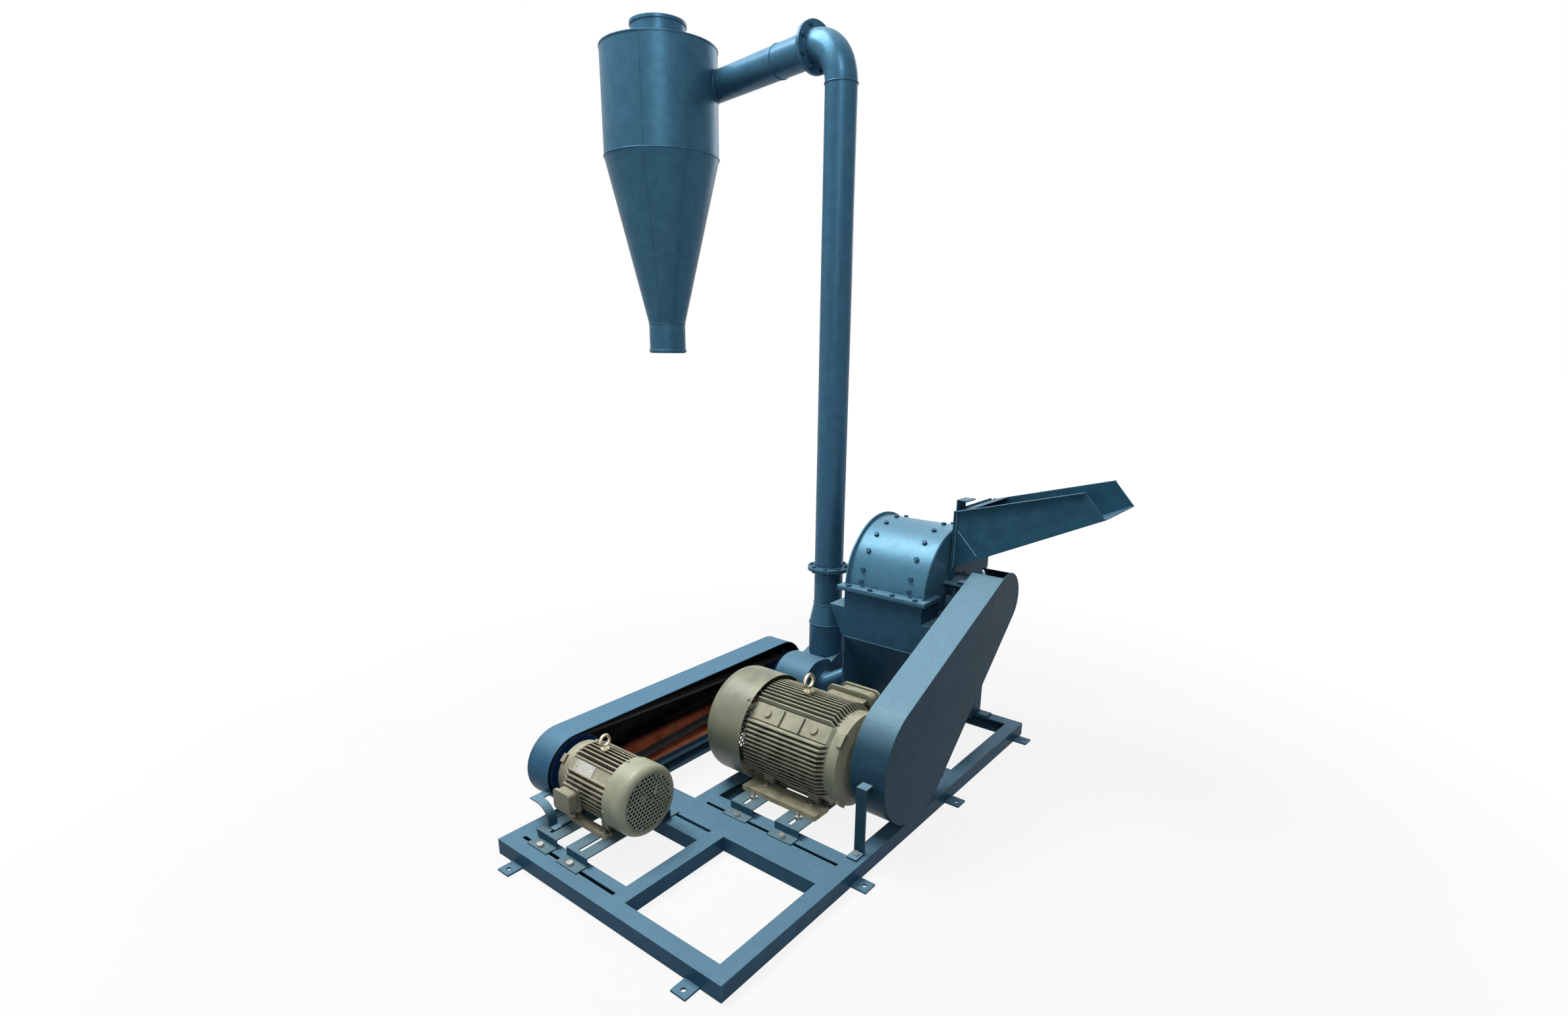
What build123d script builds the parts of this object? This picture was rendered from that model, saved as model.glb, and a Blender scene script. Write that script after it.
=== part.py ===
from build123d import *
import os
from math import acos, asin, atan2, cos, degrees, pi, radians, sin, sqrt

# Hammer mill set: belt-driven mill, suction blower and overhead cyclone on one channel base.
#
# Bench coordinates, used by every function: x runs right from the left edge of the base, y runs
# back from its front edge, z runs up from the top of its rails. At export everything moves so
# that the origin lies on the floor at the middle of the base.

# ---- base ----
base_width = 914.0
base_length = 1754.0
rail = 50.0
rail_wall = 5.0
slot = 12.0  # gap between a pair of crossbars, for the clamping bolts
strip = 36.0  # narrow crossbar behind the front slot
bay_rail_x = 467.0  # left side of the rail that closes the small motor's bay
side_rail_x = 296.0  # left side of the rail that carries the mill's left foot
small_slot_y = 431.0  # middle of the small motor's rear slot
main_slot_y = 543.0  # middle of the main motor's front slot
lug_size = 50.0
lug_thick = 6.0
lug_hole = 7.0
lug_hole_out = 30.0  # from the base's side to a floor hole
lug_front_inset = 95.0  # from the base's corner to a front lug's middle
lug_side_first = 566.0  # middle of the first side lug, from the front
lug_side_step = 567.0

# ---- motor slide rails ----
slide_height = 30.0
slide_width = 92.0
slide_wall = 4.0
slide_slot = 6.5  # half width of the slot in a slide rail's top
slide_slot_in = 38.0  # from the clamping bolt to the near end of that slot
slide_toe = 14.0  # from the clamping bolt to the end of the foot
slide_heel = 24.0  # from the clamping bolt to the upright
stop_gap = 18.0  # from the main motor's foot to the stop bolts in the slots

# ---- main motor, frame size 160 ----
main_motor_y = 807.0
main_shoulder_x = 795.0
# ---- blower motor, frame size 112 ----
small_motor_y = 273.0
small_shoulder_x = 49.0

# ---- mill ----
mill_x = 422.0  # outside of the left cheek
mill_width = 314.0
plate = 6.0
rotor_y = 1430.0
rotor_z = 600.0
body_half = 238.0  # from the rotor's axis to the front of the body
flange = 8.0
flange_out = 20.0
cover_radius = 225.0
cover_skin = 5.0
rim_out = 12.0  # how far the left end plate stands proud of the skin
knee_z = 412.0  # where the front plate turns in towards the hopper
hopper_z = 150.0
hopper_run = 143.0
stand_back_y = base_length - 9.0
stand_low_z = 150.0
stand_high_z = 330.0
foot_width = 50.0
bolt_step = 18.0  # degrees between cover bolts
bolt_row_in = 60.0  # from the cover's end to a bolt row
flange_bolt_in = 22.0  # from the body's side to the first flange bolt
flange_bolt_count = 4

# ---- mill rotor ----
shaft_radius = 30.0
shaft_step = 38.0
disc_radius = 150.0
disc_thick = 8.0
disc_count = 6
chamber_gap = 22.0  # from a cheek to the first disc
window_radius = 22.0  # lightening holes between the pins
window_circle = 94.0
pin_circle = 125.0
pin_radius = 9.0
pin_rows = 4
hammer_reach = 200.0  # tip of a hammer from the rotor's axis
hammer_tail = 20.0  # from the pin to the hammer's inner end
hammer_width = 42.0
hammer_thick = 10.0
hammer_offset = 9.0  # sideways from the middle between two discs
running = 0.05  # radial clearance of a shaft in its bearing
loose = 0.5  # clearance of parts that swing or slide freely
liner_thick = 9.0
screen_thick = 3.0
screen_gap = 8.0  # from the hammer tips to the screen
screen_slots = 11
screen_rows = 4

# ---- bearings ----
bearing_height = 76.0
bearing_width = 56.0
bearing_length = 264.0
bearing_base = 22.0
bearing_radius = 60.0
shelf = 10.0
shelf_out = 64.0
cheek_gap = 6.0  # from a cheek to its bearing

# ---- belt drives ----
belt_top = 16.5
belt_bottom = 11.0
belt_depth = 10.5
belt_over = 3.0  # belt's top above the pitch circle
groove_gap = 0.6
groove_step = 19.0
groove_edge = 12.5
rim_over_belt = 1.5
main_pitch = 100.0
mill_pitch = 62.5
main_belts = 3
blower_motor_pitch = 100.0
blower_pitch = 50.0
blower_belts = 2
main_pulley_x = 832.0
blower_pulley_x = 2.0

# ---- guards ----
guard_wall = 3.0
main_guard_x = 818.0
main_guard_depth = 118.0
main_guard_low = (866.0, 225.0)
main_guard_low_radius = 203.0
main_guard_high = (1428.0, 597.0)
main_guard_high_radius = 96.0
crown_cut = 78.0  # length of the inspection opening in the guard's crown
blower_guard_x = -52.0
blower_guard_depth = 102.0
blower_guard_ends = (268.0, 1310.0)
blower_guard_z = 142.0
blower_guard_radius = 116.0
strut_width = 34.0
strut_wall = 6.0
strut_in = 33.0  # from the base's side to the strut's middle
strut_y = 634.0  # back face of the upright
strut_foot = 46.0
strut_top = 215.0
stay_radius = 64.0
stay_y = (106.0, 134.0)
stay_reach = 32.0  # from the stay to where its arm meets the guard
stay_wall = 4.0

# ---- feed chute ----
chute_wall = 3.0
chute_y = 1380.0
chute_width = 300.0
chute_lip = 12.0
# side view of the chute: distances from the mill's end plate, and heights over the rotor's axis
throat_low = 92.0
throat_high = 290.0
bend_out = 146.0
bend_low = 155.0
mouth_out = 507.0
mouth_low = 328.0
brow_out = 436.0
brow_high = 407.0
bridge_run = 60.0  # closed part of the tray's top, over the gate
magnet_drop = 46.0
guide_width = 12.0
guide_low = 60.0
gate_thick = 4.0
gate_gap = 3.0  # from the mill's end plate to the slide gate
gate_free = 1.0  # from the slide gate to the chute
gate_tab = 64.0
gate_handle = 40.0

# ---- blower ----
blower_x = 97.0
blower_width = 150.0
blower_wall = 4.0
blower_y = 1310.0
blower_z = 142.0
impeller_radius = 84.0
scroll_start = 92.0
scroll_growth = 117.0
tongue = 50.0  # degrees from the back of the shaft up to the cut-off
blower_shaft = 17.5
cartridge_radius = 42.0
eye_radius = 45.0
eye_flange = 14.0
duct_straight = 30.0  # straight ends of the suction duct

# ---- pipes ----
pipe_radius = 57.15
pipe_wall = 3.6
riser_x = 172.0
riser_y = blower_y + scroll_start + scroll_growth - blower_width / 2
mitre_z = 236.0  # top of the blower's neck, over the riser's axis
mitre_slope = 0.4
collar_radius = 74.0
neck_low_z = 345.0
neck_high_z = 428.0
joint_z = 574.0  # joint face of the riser's flanges
pipe_flange_radius = 85.0
pipe_flange = 7.0
pipe_bolts = 8
pipe_bolt_circle = 71.0
duct_z = 2429.0
elbow_radius = 140.0

# ---- cyclone ----
cyclone_x = -734.0
cyclone_y = 1454.0
cyclone_radius = 236.0
cyclone_wall = 3.0
cyclone_top = 2553.0
cyclone_seam = 2165.0
cone_bottom = 1515.0
spout_bottom = 1393.0
spout_radius = 78.0
bead = 4.0  # how far the beads on spout and collar stand out
outlet_radius = 110.0
outlet_top = 2650.0
finder_bottom = 2210.0
inlet_inset = 4.0  # from the shell's outside to the duct's, so that they do not share a tangent

mill_right = mill_x + mill_width
strut_x = base_width - strut_in
chute_start = mill_right + gate_gap + gate_thick + gate_free
rows = [90.0 * k for k in range(pin_rows)]
disc_span = mill_width - 2 * (plate + chamber_gap) - disc_thick
disc_pitch = disc_span / (disc_count - 1)
disc_first = mill_x + plate + chamber_gap + disc_thick / 2
disc_places = [disc_first + k * disc_pitch for k in range(disc_count)]
gap_places = [disc_first + (k + 0.5) * disc_pitch for k in range(disc_count - 1)]
body_front = rotor_y - body_half
body_back = rotor_y + body_half
feed_opening = (rotor_y - 35.0, rotor_y + 105.0, rotor_z + 92.0, rotor_z + 178.0)
guard_tab_y = (rotor_y - 95.0, rotor_y - 65.0)
guard_tab_z = rotor_z + 40.0
suction_mouth = (rotor_y - 40.0, hopper_z + 55.0)
yaw = atan2(cyclone_y - riser_y, riser_x - cyclone_x)
to_cyclone = sqrt((riser_x - cyclone_x) ** 2 + (cyclone_y - riser_y) ** 2)
yaw += asin((cyclone_radius - pipe_radius - inlet_inset) / to_cyclone)


# ---- helpers ----
def block(x0, x1, y0, y1, z0, z1):
    """Box between two corners."""
    return Pos((x0 + x1) / 2, (y0 + y1) / 2, (z0 + z1) / 2) * Box(x1 - x0, y1 - y0, z1 - z0)


def bar_x(radius, x0, x1, y, z):
    """Round bar along X."""
    return Pos((x0 + x1) / 2, y, z) * Rot(0, 90, 0) * Cylinder(radius, abs(x1 - x0))


def bar_y(radius, y0, y1, x, z):
    """Round bar along Y."""
    return Pos(x, (y0 + y1) / 2, z) * Rot(90, 0, 0) * Cylinder(radius, y1 - y0)


def bar_z(radius, z0, z1, x, y):
    """Round bar along Z."""
    return Pos(x, y, (z0 + z1) / 2) * Cylinder(radius, z1 - z0)


def turned_x(points, y, z):
    """Solid of revolution about an axis along X, from (x, radius) points."""
    face = make_face(Polyline([(x, 0, r) for x, r in points], close=True))
    return Pos(0, y, z) * revolve(face, Axis.X)


def turned_z(points, x, y):
    """Solid of revolution about an upright axis, from (radius, z) points."""
    face = make_face(Polyline([(r, 0, z) for r, z in points], close=True))
    return Pos(x, y, 0) * revolve(face, Axis.Z)


def plate_x(points, x0, x1):
    """Flat plate square to X, from an outline of (y, z) points."""
    face = make_face(Polyline([(x0, y, z) for y, z in points], close=True))
    return extrude(face, amount=x1 - x0, dir=(1, 0, 0))


def plate_y(points, y0, y1):
    """Flat plate square to Y, from an outline of (x, z) points."""
    face = make_face(Polyline([(x, y0, z) for x, z in points], close=True))
    return extrude(face, amount=y1 - y0, dir=(0, 1, 0))


def hexagon_x(across, x0, x1, y, z):
    """Hexagon head or nut along X."""
    return Pos(x0, y, z) * Rot(0, 90, 0) * extrude(RegularPolygon(across / sqrt(3), 6), amount=x1 - x0)


def hexagon_z(across, z0, z1, x, y):
    """Hexagon head or nut along Z."""
    return Pos(x, y, z0) * extrude(RegularPolygon(across / sqrt(3), 6), amount=z1 - z0)


def joined(pieces):
    """One shape fused from several touching ones."""
    shape = pieces[0]
    for piece in pieces[1:]:
        shape = shape + piece
    return shape


def loop_outline(low, low_radius, high, high_radius, x):
    """Face round two circles and their outer tangents, in the plane at x."""
    dy, dz = high[0] - low[0], high[1] - low[1]
    span = sqrt(dy * dy + dz * dz)
    along = atan2(dz, dy)
    tilt = acos((low_radius - high_radius) / span)

    def spot(centre, radius, angle):
        return (x, centre[0] + radius * cos(angle), centre[1] + radius * sin(angle))

    up, down = along + tilt, along - tilt
    edges = [
        Edge.make_line(spot(low, low_radius, up), spot(high, high_radius, up)),
        Edge.make_three_point_arc(
            spot(high, high_radius, up), spot(high, high_radius, along), spot(high, high_radius, down)
        ),
        Edge.make_line(spot(high, high_radius, down), spot(low, low_radius, down)),
        Edge.make_three_point_arc(
            spot(low, low_radius, down), spot(low, low_radius, along + pi), spot(low, low_radius, up)
        ),
    ]
    return make_face(edges)


# ---- base ----
def channel_x(x0, x1, y0, y1, web_front):
    """Channel along X, open at the back or at the front."""
    bar = block(x0, x1, y0, y1, -rail, 0)
    inner0 = y0 + rail_wall if web_front else y0 - 1
    inner1 = y1 + 1 if web_front else y1 - rail_wall
    return bar - block(x0 - 1, x1 + 1, inner0, inner1, -rail + rail_wall, -rail_wall)


def channel_y(y0, y1, x0, x1, web_left):
    """Channel along Y, open at the right or at the left."""
    bar = block(x0, x1, y0, y1, -rail, 0)
    inner0 = x0 + rail_wall if web_left else x0 - 1
    inner1 = x1 + 1 if web_left else x1 - rail_wall
    return bar - block(inner0, inner1, y0 - 1, y1 + 1, -rail + rail_wall, -rail_wall)


def side_rail(x0, x1, web_left):
    """Side channel of the base, closed by a plate at each end."""
    inner0, inner1 = (x0 + rail_wall, x1) if web_left else (x0, x1 - rail_wall)
    side = channel_y(0, base_length, x0, x1, web_left)
    for y in (0, base_length - rail_wall):
        side += block(inner0, inner1, y, y + rail_wall, -rail, 0)
    return side


def base_rails():
    """Outer rails: two full-length side channels and two end channels between them."""
    inner_right = base_width - rail
    return Compound([
        side_rail(0, rail, True),
        side_rail(inner_right, base_width, False),
        channel_x(rail, inner_right, 0, rail, True),
        channel_x(rail, inner_right, base_length - rail, base_length, False),
    ])


def inner_rails():
    """Short rail beside the small motor and long rail under the mill's left foot."""
    bay_end = small_slot_y + slot / 2
    side_start = main_slot_y - slot / 2
    return Compound([
        channel_y(rail, bay_end, bay_rail_x, bay_rail_x + rail, False),
        channel_y(side_start, base_length - rail, side_rail_x, side_rail_x + rail, True),
    ])


def small_motor_crossbars():
    """Narrow front strip, and the pair that clamps the slide rails' rear ends."""
    front = rail + slot
    return Compound([
        channel_x(rail, bay_rail_x, front, front + strip, False),
        channel_x(rail, bay_rail_x, small_slot_y - slot / 2 - rail, small_slot_y - slot / 2, True),
        channel_x(rail, base_width - rail, small_slot_y + slot / 2, small_slot_y + slot / 2 + rail, True),
    ])


def main_motor_crossbars():
    """Two pairs that clamp the main motor's slide rails, and the bar under the mill's front feet."""
    right = base_width - rail
    left = side_rail_x + rail
    front, back = main_slot_y - slot / 2, main_slot_y + slot / 2
    rear_slot = 2 * main_motor_y - main_slot_y
    return Compound([
        channel_x(rail, right, front - rail, front, True),
        channel_x(left, right, back, back + rail, False),
        channel_x(left, right, rear_slot - slot / 2 - rail, rear_slot - slot / 2, True),
        channel_x(left, right, rear_slot + slot / 2, rear_slot + slot / 2 + rail, False),
        channel_x(left, right, body_front, body_front + rail, True),
    ])


def lug_places():
    """Middle of each floor lug's root and the direction in which it points."""
    places = []
    for x in (lug_front_inset, base_width - lug_front_inset):
        places.append((x, 0.0, 0, -1))
        places.append((x, base_length, 0, 1))
    for k in range(3):
        y = lug_side_first + k * lug_side_step
        places.append((0.0, y, -1, 0))
        places.append((base_width, y, 1, 0))
    return places


def floor_lugs():
    """Flat drilled lugs at floor level round the base."""
    low = -rail
    lugs = []
    for x, y, out_x, out_y in lug_places():
        mid_x = x + out_x * lug_size / 2
        mid_y = y + out_y * lug_size / 2
        lug = Pos(mid_x, mid_y, low + lug_thick / 2) * Box(lug_size, lug_size, lug_thick)
        hole_x, hole_y = x + out_x * lug_hole_out, y + out_y * lug_hole_out
        lugs.append(lug - bar_z(lug_hole, low - 1, low + lug_thick + 1, hole_x, hole_y))
    return Compound(lugs)


# ---- motor slide rails ----
def slide_rail(x, bolt_ys, foot_ys):
    """Wide strap bridge folded down to a bolted foot at each end, slotted for the motor's bolts."""
    high, wall, half = slide_height, slide_wall, slide_width / 2
    front, back = bolt_ys
    toe0, toe1 = front - slide_toe, back + slide_toe
    heel0, heel1 = front + slide_heel, back - slide_heel
    outline = [
        (toe0, 0), (heel0 + wall, 0), (heel0 + wall, high - wall), (heel1 - wall, high - wall),
        (heel1 - wall, 0), (toe1, 0), (toe1, wall), (heel1, wall), (heel1, high), (heel0, high),
        (heel0, wall), (toe0, wall),
    ]
    strap = plate_x(outline, x - half, x + half)
    reach = 3 * slide_slot
    slots = ((front + slide_slot_in, foot_ys[0] + reach), (foot_ys[1] - reach, back - slide_slot_in))
    for y0, y1 in slots:
        strap -= block(x - slide_slot, x + slide_slot, y0, y1, high - wall - 1, high + 1)
    for y in bolt_ys:
        strap -= bar_z(slide_slot, -1, wall + 1, x, y)
    return strap


# ---- motors ----
class Motor:
    """Sizes of a foot-mounted motor. Local x = 0 is its shaft's shoulder, with the shaft towards +x."""

    def __init__(self, height, feet_a, feet_b, feet_c, feet, shaft, shaft_out, core, fin, cowl, housing,
                 cowl_end, side_fins, fin_step, fin_end, eye, box):
        self.height = height  # axis above the feet
        self.feet_a = feet_a  # between hole centres across the shaft
        self.feet_b = feet_b  # between hole centres along the shaft
        self.feet_c = feet_c  # from the shoulder to the first hole
        self.feet_out, self.feet_back, self.feet_front = feet  # half width, and the ends along the shaft
        self.shaft = shaft  # radius
        self.shaft_out = shaft_out
        self.core = core
        self.fin = fin
        self.cowl = cowl
        self.housing = housing  # from the shoulder to the housing's rear end
        self.cowl_end = cowl_end  # from the shoulder to the grille
        self.side_fins = side_fins
        self.fin_step = fin_step
        self.fin_end = fin_end  # from the shoulder to the tapered ends of the fins
        self.eye = eye  # from the shoulder to the lifting eye
        # terminal box: middle and length along the shaft, upper and lower edge with the sign turned,
        # and the distance of its flange from the axis
        self.box = box
        self.shield = 0.34 * core
        self.fin_thick = 4.5
        self.bore = core - 13.0
        self.stack = core * 0.6
        self.pad_out = 0.93 * fin
        self.foot_thick = 0.11 * height


main_motor = Motor(160.0, 254.0, 182.0, 138.0, (167.0, -380.0, -84.0), 21.0, 110.0, 128.0, 168.0, 182.0,
                   380.0, 545.0, 13, 14.0, 68.0, 240.0, (-180.0, 180.0, -145.0, 20.0, 146.0))
small_motor = Motor(112.0, 190.0, 140.0, 84.0, (102.0, -240.0, -62.0), 14.0, 60.0, 87.0, 106.0, 111.0,
                    242.0, 328.0, 9, 14.0, 46.0, 136.0, (-95.0, 86.0, -16.0, 60.0, 101.0))
main_pad_bosses = (-319.0, -136.0)  # along the shaft, from the shoulder
main_pad_ribs = (-262.0, -184.0)


def box_pocket(m):
    """Room among the side fins for the terminal box."""
    mid, size, y0, y1, joint = m.box
    return block(mid - size / 2 - loose, mid + size / 2 + loose, joint, 2 * m.fin, -y1 - loose, -y0 + loose)


def motor_foot(m, side):
    """One foot: a long bar with a web behind each bolt hole."""
    inner = m.feet_a / 2 - 0.2 * m.height
    y0, y1 = sorted((side * inner, side * m.feet_out))
    foot = block(m.feet_back, m.feet_front, y0, y1, -m.height, -m.height + m.foot_thick)
    web_y0, web_y1 = sorted((side * inner, side * (inner + 0.1 * m.height)))
    for x in (-m.feet_c, -m.feet_c - m.feet_b):
        foot += block(x - 0.1 * m.height, x + 0.16 * m.height, web_y0, web_y1, -m.height, -0.62 * m.core)
        foot -= bar_z(m.height / 20, -m.height - 1, -m.height + m.foot_thick + 1, x, side * m.feet_a / 2)
    return foot


def pad_trim(m):
    """Round bosses and cross ribs on the upper pads, along the pad's normal."""
    half = 0.15 * m.fin
    bosses = [bar_z(0.08 * m.fin, m.pad_out - 2, m.pad_out + 6, x, 0) for x in main_pad_bosses]
    ribs = [block(x - 2.5, x + 2.5, -half, half, m.pad_out - 2, m.pad_out + 7) for x in main_pad_ribs]
    trim = joined(bosses + ribs)
    return Rot(45, 0, 0) * trim + Rot(-45, 0, 0) * trim


def motor_housing(m):
    """Finned barrel with corner pads and feet, bored for the stator."""
    barrel = Circle(m.core)
    half = m.side_fins // 2
    for k in range(-half, half + 1):
        z = k * m.fin_step
        barrel += Pos(0, z) * Rectangle(2 * sqrt(m.fin ** 2 - z ** 2), m.fin_thick)
        barrel += Pos(z, 0) * Rectangle(m.fin_thick, 2 * sqrt(m.fin ** 2 - z ** 2))
    for angle in (45, 135, 225, 315):
        barrel += Rot(0, 0, angle) * Pos(m.pad_out / 2, 0) * Rectangle(m.pad_out, 0.34 * m.fin)
    barrel &= Circle(m.fin)
    barrel -= Pos(0, -m.height - m.fin / 2 + 8) * Rectangle(2 * m.fin, m.fin)
    barrel -= Circle(m.bore)
    body = Pos(-m.housing, 0, 0) * extrude(Plane.YZ * barrel, amount=m.housing - m.shield)
    nose, smooth = -m.fin_end, 0.88 * m.fin
    taper = [(-m.housing, 0), (-m.housing, m.fin), (nose - 24, m.fin), (nose, smooth),
             (-m.shield, smooth), (-m.shield, 0)]
    body &= turned_x(taper, 0, 0)
    body += bar_x(smooth, nose - 10, -m.shield, 0, 0)
    body += motor_foot(m, -1) + motor_foot(m, 1)
    if m is main_motor:
        body += pad_trim(m)
    body -= bar_x(m.bore, -m.housing - 1, -m.shield + 1, 0, 0)
    return body - box_pocket(m)


def motor_stator(m):
    """Laminated stator ring with its end windings."""
    ring = bar_x(m.bore, -m.housing + 0.45 * m.core, -m.shield - 0.35 * m.core, 0, 0)
    return ring - bar_x(m.stack + loose, -m.housing, 0, 0, 0)


def motor_shield(m, front):
    """Bearing shield: a stepped disc bored for the shaft, with four corner ears."""
    flat, hub = 0.88 * m.fin, 0.5 * m.core
    if front:
        points = [(-m.shield - 8, m.shaft + running), (-m.shield - 8, m.bore - 1), (-m.shield, m.bore - 1),
                  (-m.shield, flat), (-m.shield + 12, flat), (-0.35 * m.shield, 0.8 * flat),
                  (-0.2 * m.shield, hub), (-2, hub), (-2, m.shaft + running)]
        ear0, ear1 = -m.shield, -m.shield + 16
    else:
        back = -m.housing
        points = [(back + 8, m.shaft + running), (back + 8, m.bore - 1), (back, m.bore - 1),
                  (back, flat), (back - 9, flat), (back - 14, hub), (back - 14, m.shaft + running)]
        ear0, ear1 = back - 9, back
    disc = turned_x(points, 0, 0)
    for angle in (45, 135, 225, 315):
        ear = Rot(angle, 0, 0) * block(ear0, ear1, 0.9 * m.core, 0.93 * m.fin, -0.13 * m.fin, 0.13 * m.fin)
        disc += ear
    return disc


def motor_rotor(m):
    """Shaft with its laminated rotor pack, from the fan to the drive end."""
    pack0, pack1 = -m.housing + 0.5 * m.core, -m.shield - 0.4 * m.core
    tail = -m.housing - 60
    points = [(tail, 0), (tail, 0.8 * m.shaft), (-m.housing - 15, 0.8 * m.shaft), (-m.housing - 15, m.shaft),
              (pack0, m.shaft), (pack0, m.stack), (pack1, m.stack), (pack1, m.shaft),
              (m.shaft_out, m.shaft), (m.shaft_out, 0)]
    return turned_x(points, 0, 0)


def motor_fan(m):
    """Radial cooling fan: a hub, a back disc and straight blades."""
    hub0, hub1 = -m.housing - 56, -m.housing - 18
    hub = bar_x(2 * m.shaft, hub0, hub1, 0, 0)
    hub += bar_x(0.72 * m.cowl, hub1 - 4, hub1, 0, 0)
    for k in range(7):
        blade = block(hub0, hub1 - 2, m.shaft + 2, 0.72 * m.cowl, -2, 2)
        hub += Rot(360 * k / 7, 0, 0) * blade
    return hub - bar_x(0.8 * m.shaft, hub0 - 1, hub1 + 1, 0, 0)


def motor_cowl(m):
    """Pressed fan cowl: a cup with a rounded end, whose flat face is drilled as a grille."""
    rim, end, wall = -m.housing - 2, -m.cowl_end, 2.5
    turn = 0.16 * m.cowl
    outer = [(rim, 0), (rim, m.cowl), (end + turn, m.cowl)]
    inner = [(rim + 1, 0), (rim + 1, m.cowl - wall), (end + turn, m.cowl - wall)]
    for k in range(1, 6):
        a = radians(18 * k)
        outer.append((end + turn - turn * sin(a), m.cowl - turn + turn * cos(a)))
        inner.append((end + turn - (turn - wall) * sin(a), m.cowl - turn + (turn - wall) * cos(a)))
    outer.append((end, 0))
    inner.append((end + wall, 0))
    cup = turned_x(outer, 0, 0) - turned_x(inner, 0, 0)
    pitch = m.cowl / 6.2
    holes = []
    for i in range(-3, 4):
        for j in range(-3, 4):
            y, z = pitch * (i + 0.5 * j), pitch * j * sqrt(3) / 2
            if 1 < y * y + z * z < (3.2 * pitch) ** 2:
                holes.append(bar_x(0.36 * pitch, end - 1, end + wall + 1, y, z))
    cup -= holes
    for angle in (45, 135, 225, 315):
        cup += Rot(angle, 0, 0) * block(rim - 4, rim, 0.93 * m.fin, m.cowl - 1, -8, 8)
    return cup


def rounded_plate(x0, x1, y0, y1, z0, z1, radius):
    """Flat plate with its upright edges rounded."""
    body = block(x0, x1, y0, y1, z0, z1)
    return fillet(body.edges().filter_by(Axis.Z), radius)


def motor_terminal_box(m):
    """Side terminal box, drawn upright: a neck on the fins, a flange, a body and its separate lid."""
    mid, size, y0, y1, joint = m.box
    x0, x1 = mid - size / 2, mid + size / 2
    step, corner = 0.1 * size, 0.14 * size
    top = joint + 0.36 * size
    box = block(x0 + step, x1 - step, y0 + step, y1 - step, 0.3 * m.fin, joint)
    box -= bar_x(m.fin, x0, x1, 0, 0)
    box += rounded_plate(x0, x1, y0, y1, joint, joint + 8, corner)
    box += rounded_plate(x0 + step, x1 - step, y0 + step, y1 - step, joint + 8, top, corner)
    box += bar_x(0.9 * step, x1 - step, x1 + 4, (y0 + y1) / 2, joint + 8 + 1.4 * step)
    rim = 0.6 * step
    lid = rounded_plate(x0 + rim, x1 - rim, y0 + rim, y1 - rim, top, top + 10, corner)
    return Rot(-90, 0, 0) * Compound([box, lid])


def place_main(shape):
    """Main motor: shaft to the right, on its slide rails."""
    return Pos(main_shoulder_x, main_motor_y, slide_height + main_motor.height) * shape


def place_small(shape):
    """Blower motor: shaft to the left, on its slide rails."""
    return Pos(small_shoulder_x, small_motor_y, slide_height + small_motor.height) * Rot(0, 0, 180) * shape


def lifting_eye(m):
    """Eye bolt on the crown of a motor."""
    ring = 0.1 * m.height + 6.0
    wire = 0.27 * ring
    eye = Pos(-m.eye, 0, m.fin + ring + 3 * wire) * Rot(0, 90, 90) * Torus(ring, wire)
    collar = bar_z(0.8 * ring, m.fin, m.fin + 1.2 * wire, -m.eye, 0)
    return eye + collar + bar_z(wire, m.fin, m.fin + 2.4 * wire, -m.eye, 0)


def motor_bolts():
    """Foot bolts of both motors and the bolts that clamp their slide rails."""
    bolts = []
    for m, place in ((main_motor, place_main), (small_motor, place_small)):
        top = -m.height + m.foot_thick
        for x in (-m.feet_c, -m.feet_c - m.feet_b):
            for y in (-m.feet_a / 2, m.feet_a / 2):
                head = hexagon_z(m.height / 7, top, top + 9, x, y)
                bolts.append(place(head + bar_z(m.height / 26, -m.height - 14, top, x, y)))
    for xs, ys in rail_ends():
        for x in xs:
            for y in ys:
                head = hexagon_z(19, slide_wall, slide_wall + 9, x, y)
                bolts.append(head + bar_z(5.5, -rail, slide_wall, x, y))
    stop_y = main_motor_y - main_motor.feet_out - stop_gap
    for x in rail_ends()[1][0]:
        stud = bar_z(5.5, slide_height - 14, slide_height + 22, x, stop_y)
        bolts.append(stud + hexagon_z(19, slide_height, slide_height + 9, x, stop_y))
    bolts.append(hexagon_z(17, strut_wall, strut_wall + 9, strut_x, strut_y - strut_foot / 2))
    return Compound(bolts)


def rail_ends():
    """Rail positions along X, and the middles of the clamping slots along Y, for both motors."""
    main_xs = [main_shoulder_x - main_motor.feet_c - k * main_motor.feet_b for k in (0, 1)]
    small_xs = [small_shoulder_x + small_motor.feet_c + k * small_motor.feet_b for k in (0, 1)]
    main_ys = (main_slot_y, 2 * main_motor_y - main_slot_y)
    small_ys = (rail + slot / 2, small_slot_y)
    return ((small_xs, small_ys), (main_xs, main_ys))


def slide_rails(which):
    """The two slide rails of one motor."""
    xs, ys = rail_ends()[which]
    m, y = ((small_motor, small_motor_y), (main_motor, main_motor_y))[which]
    feet = (y - m.feet_a / 2, y + m.feet_a / 2)
    return Compound([slide_rail(x, ys, feet) for x in xs])


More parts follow.
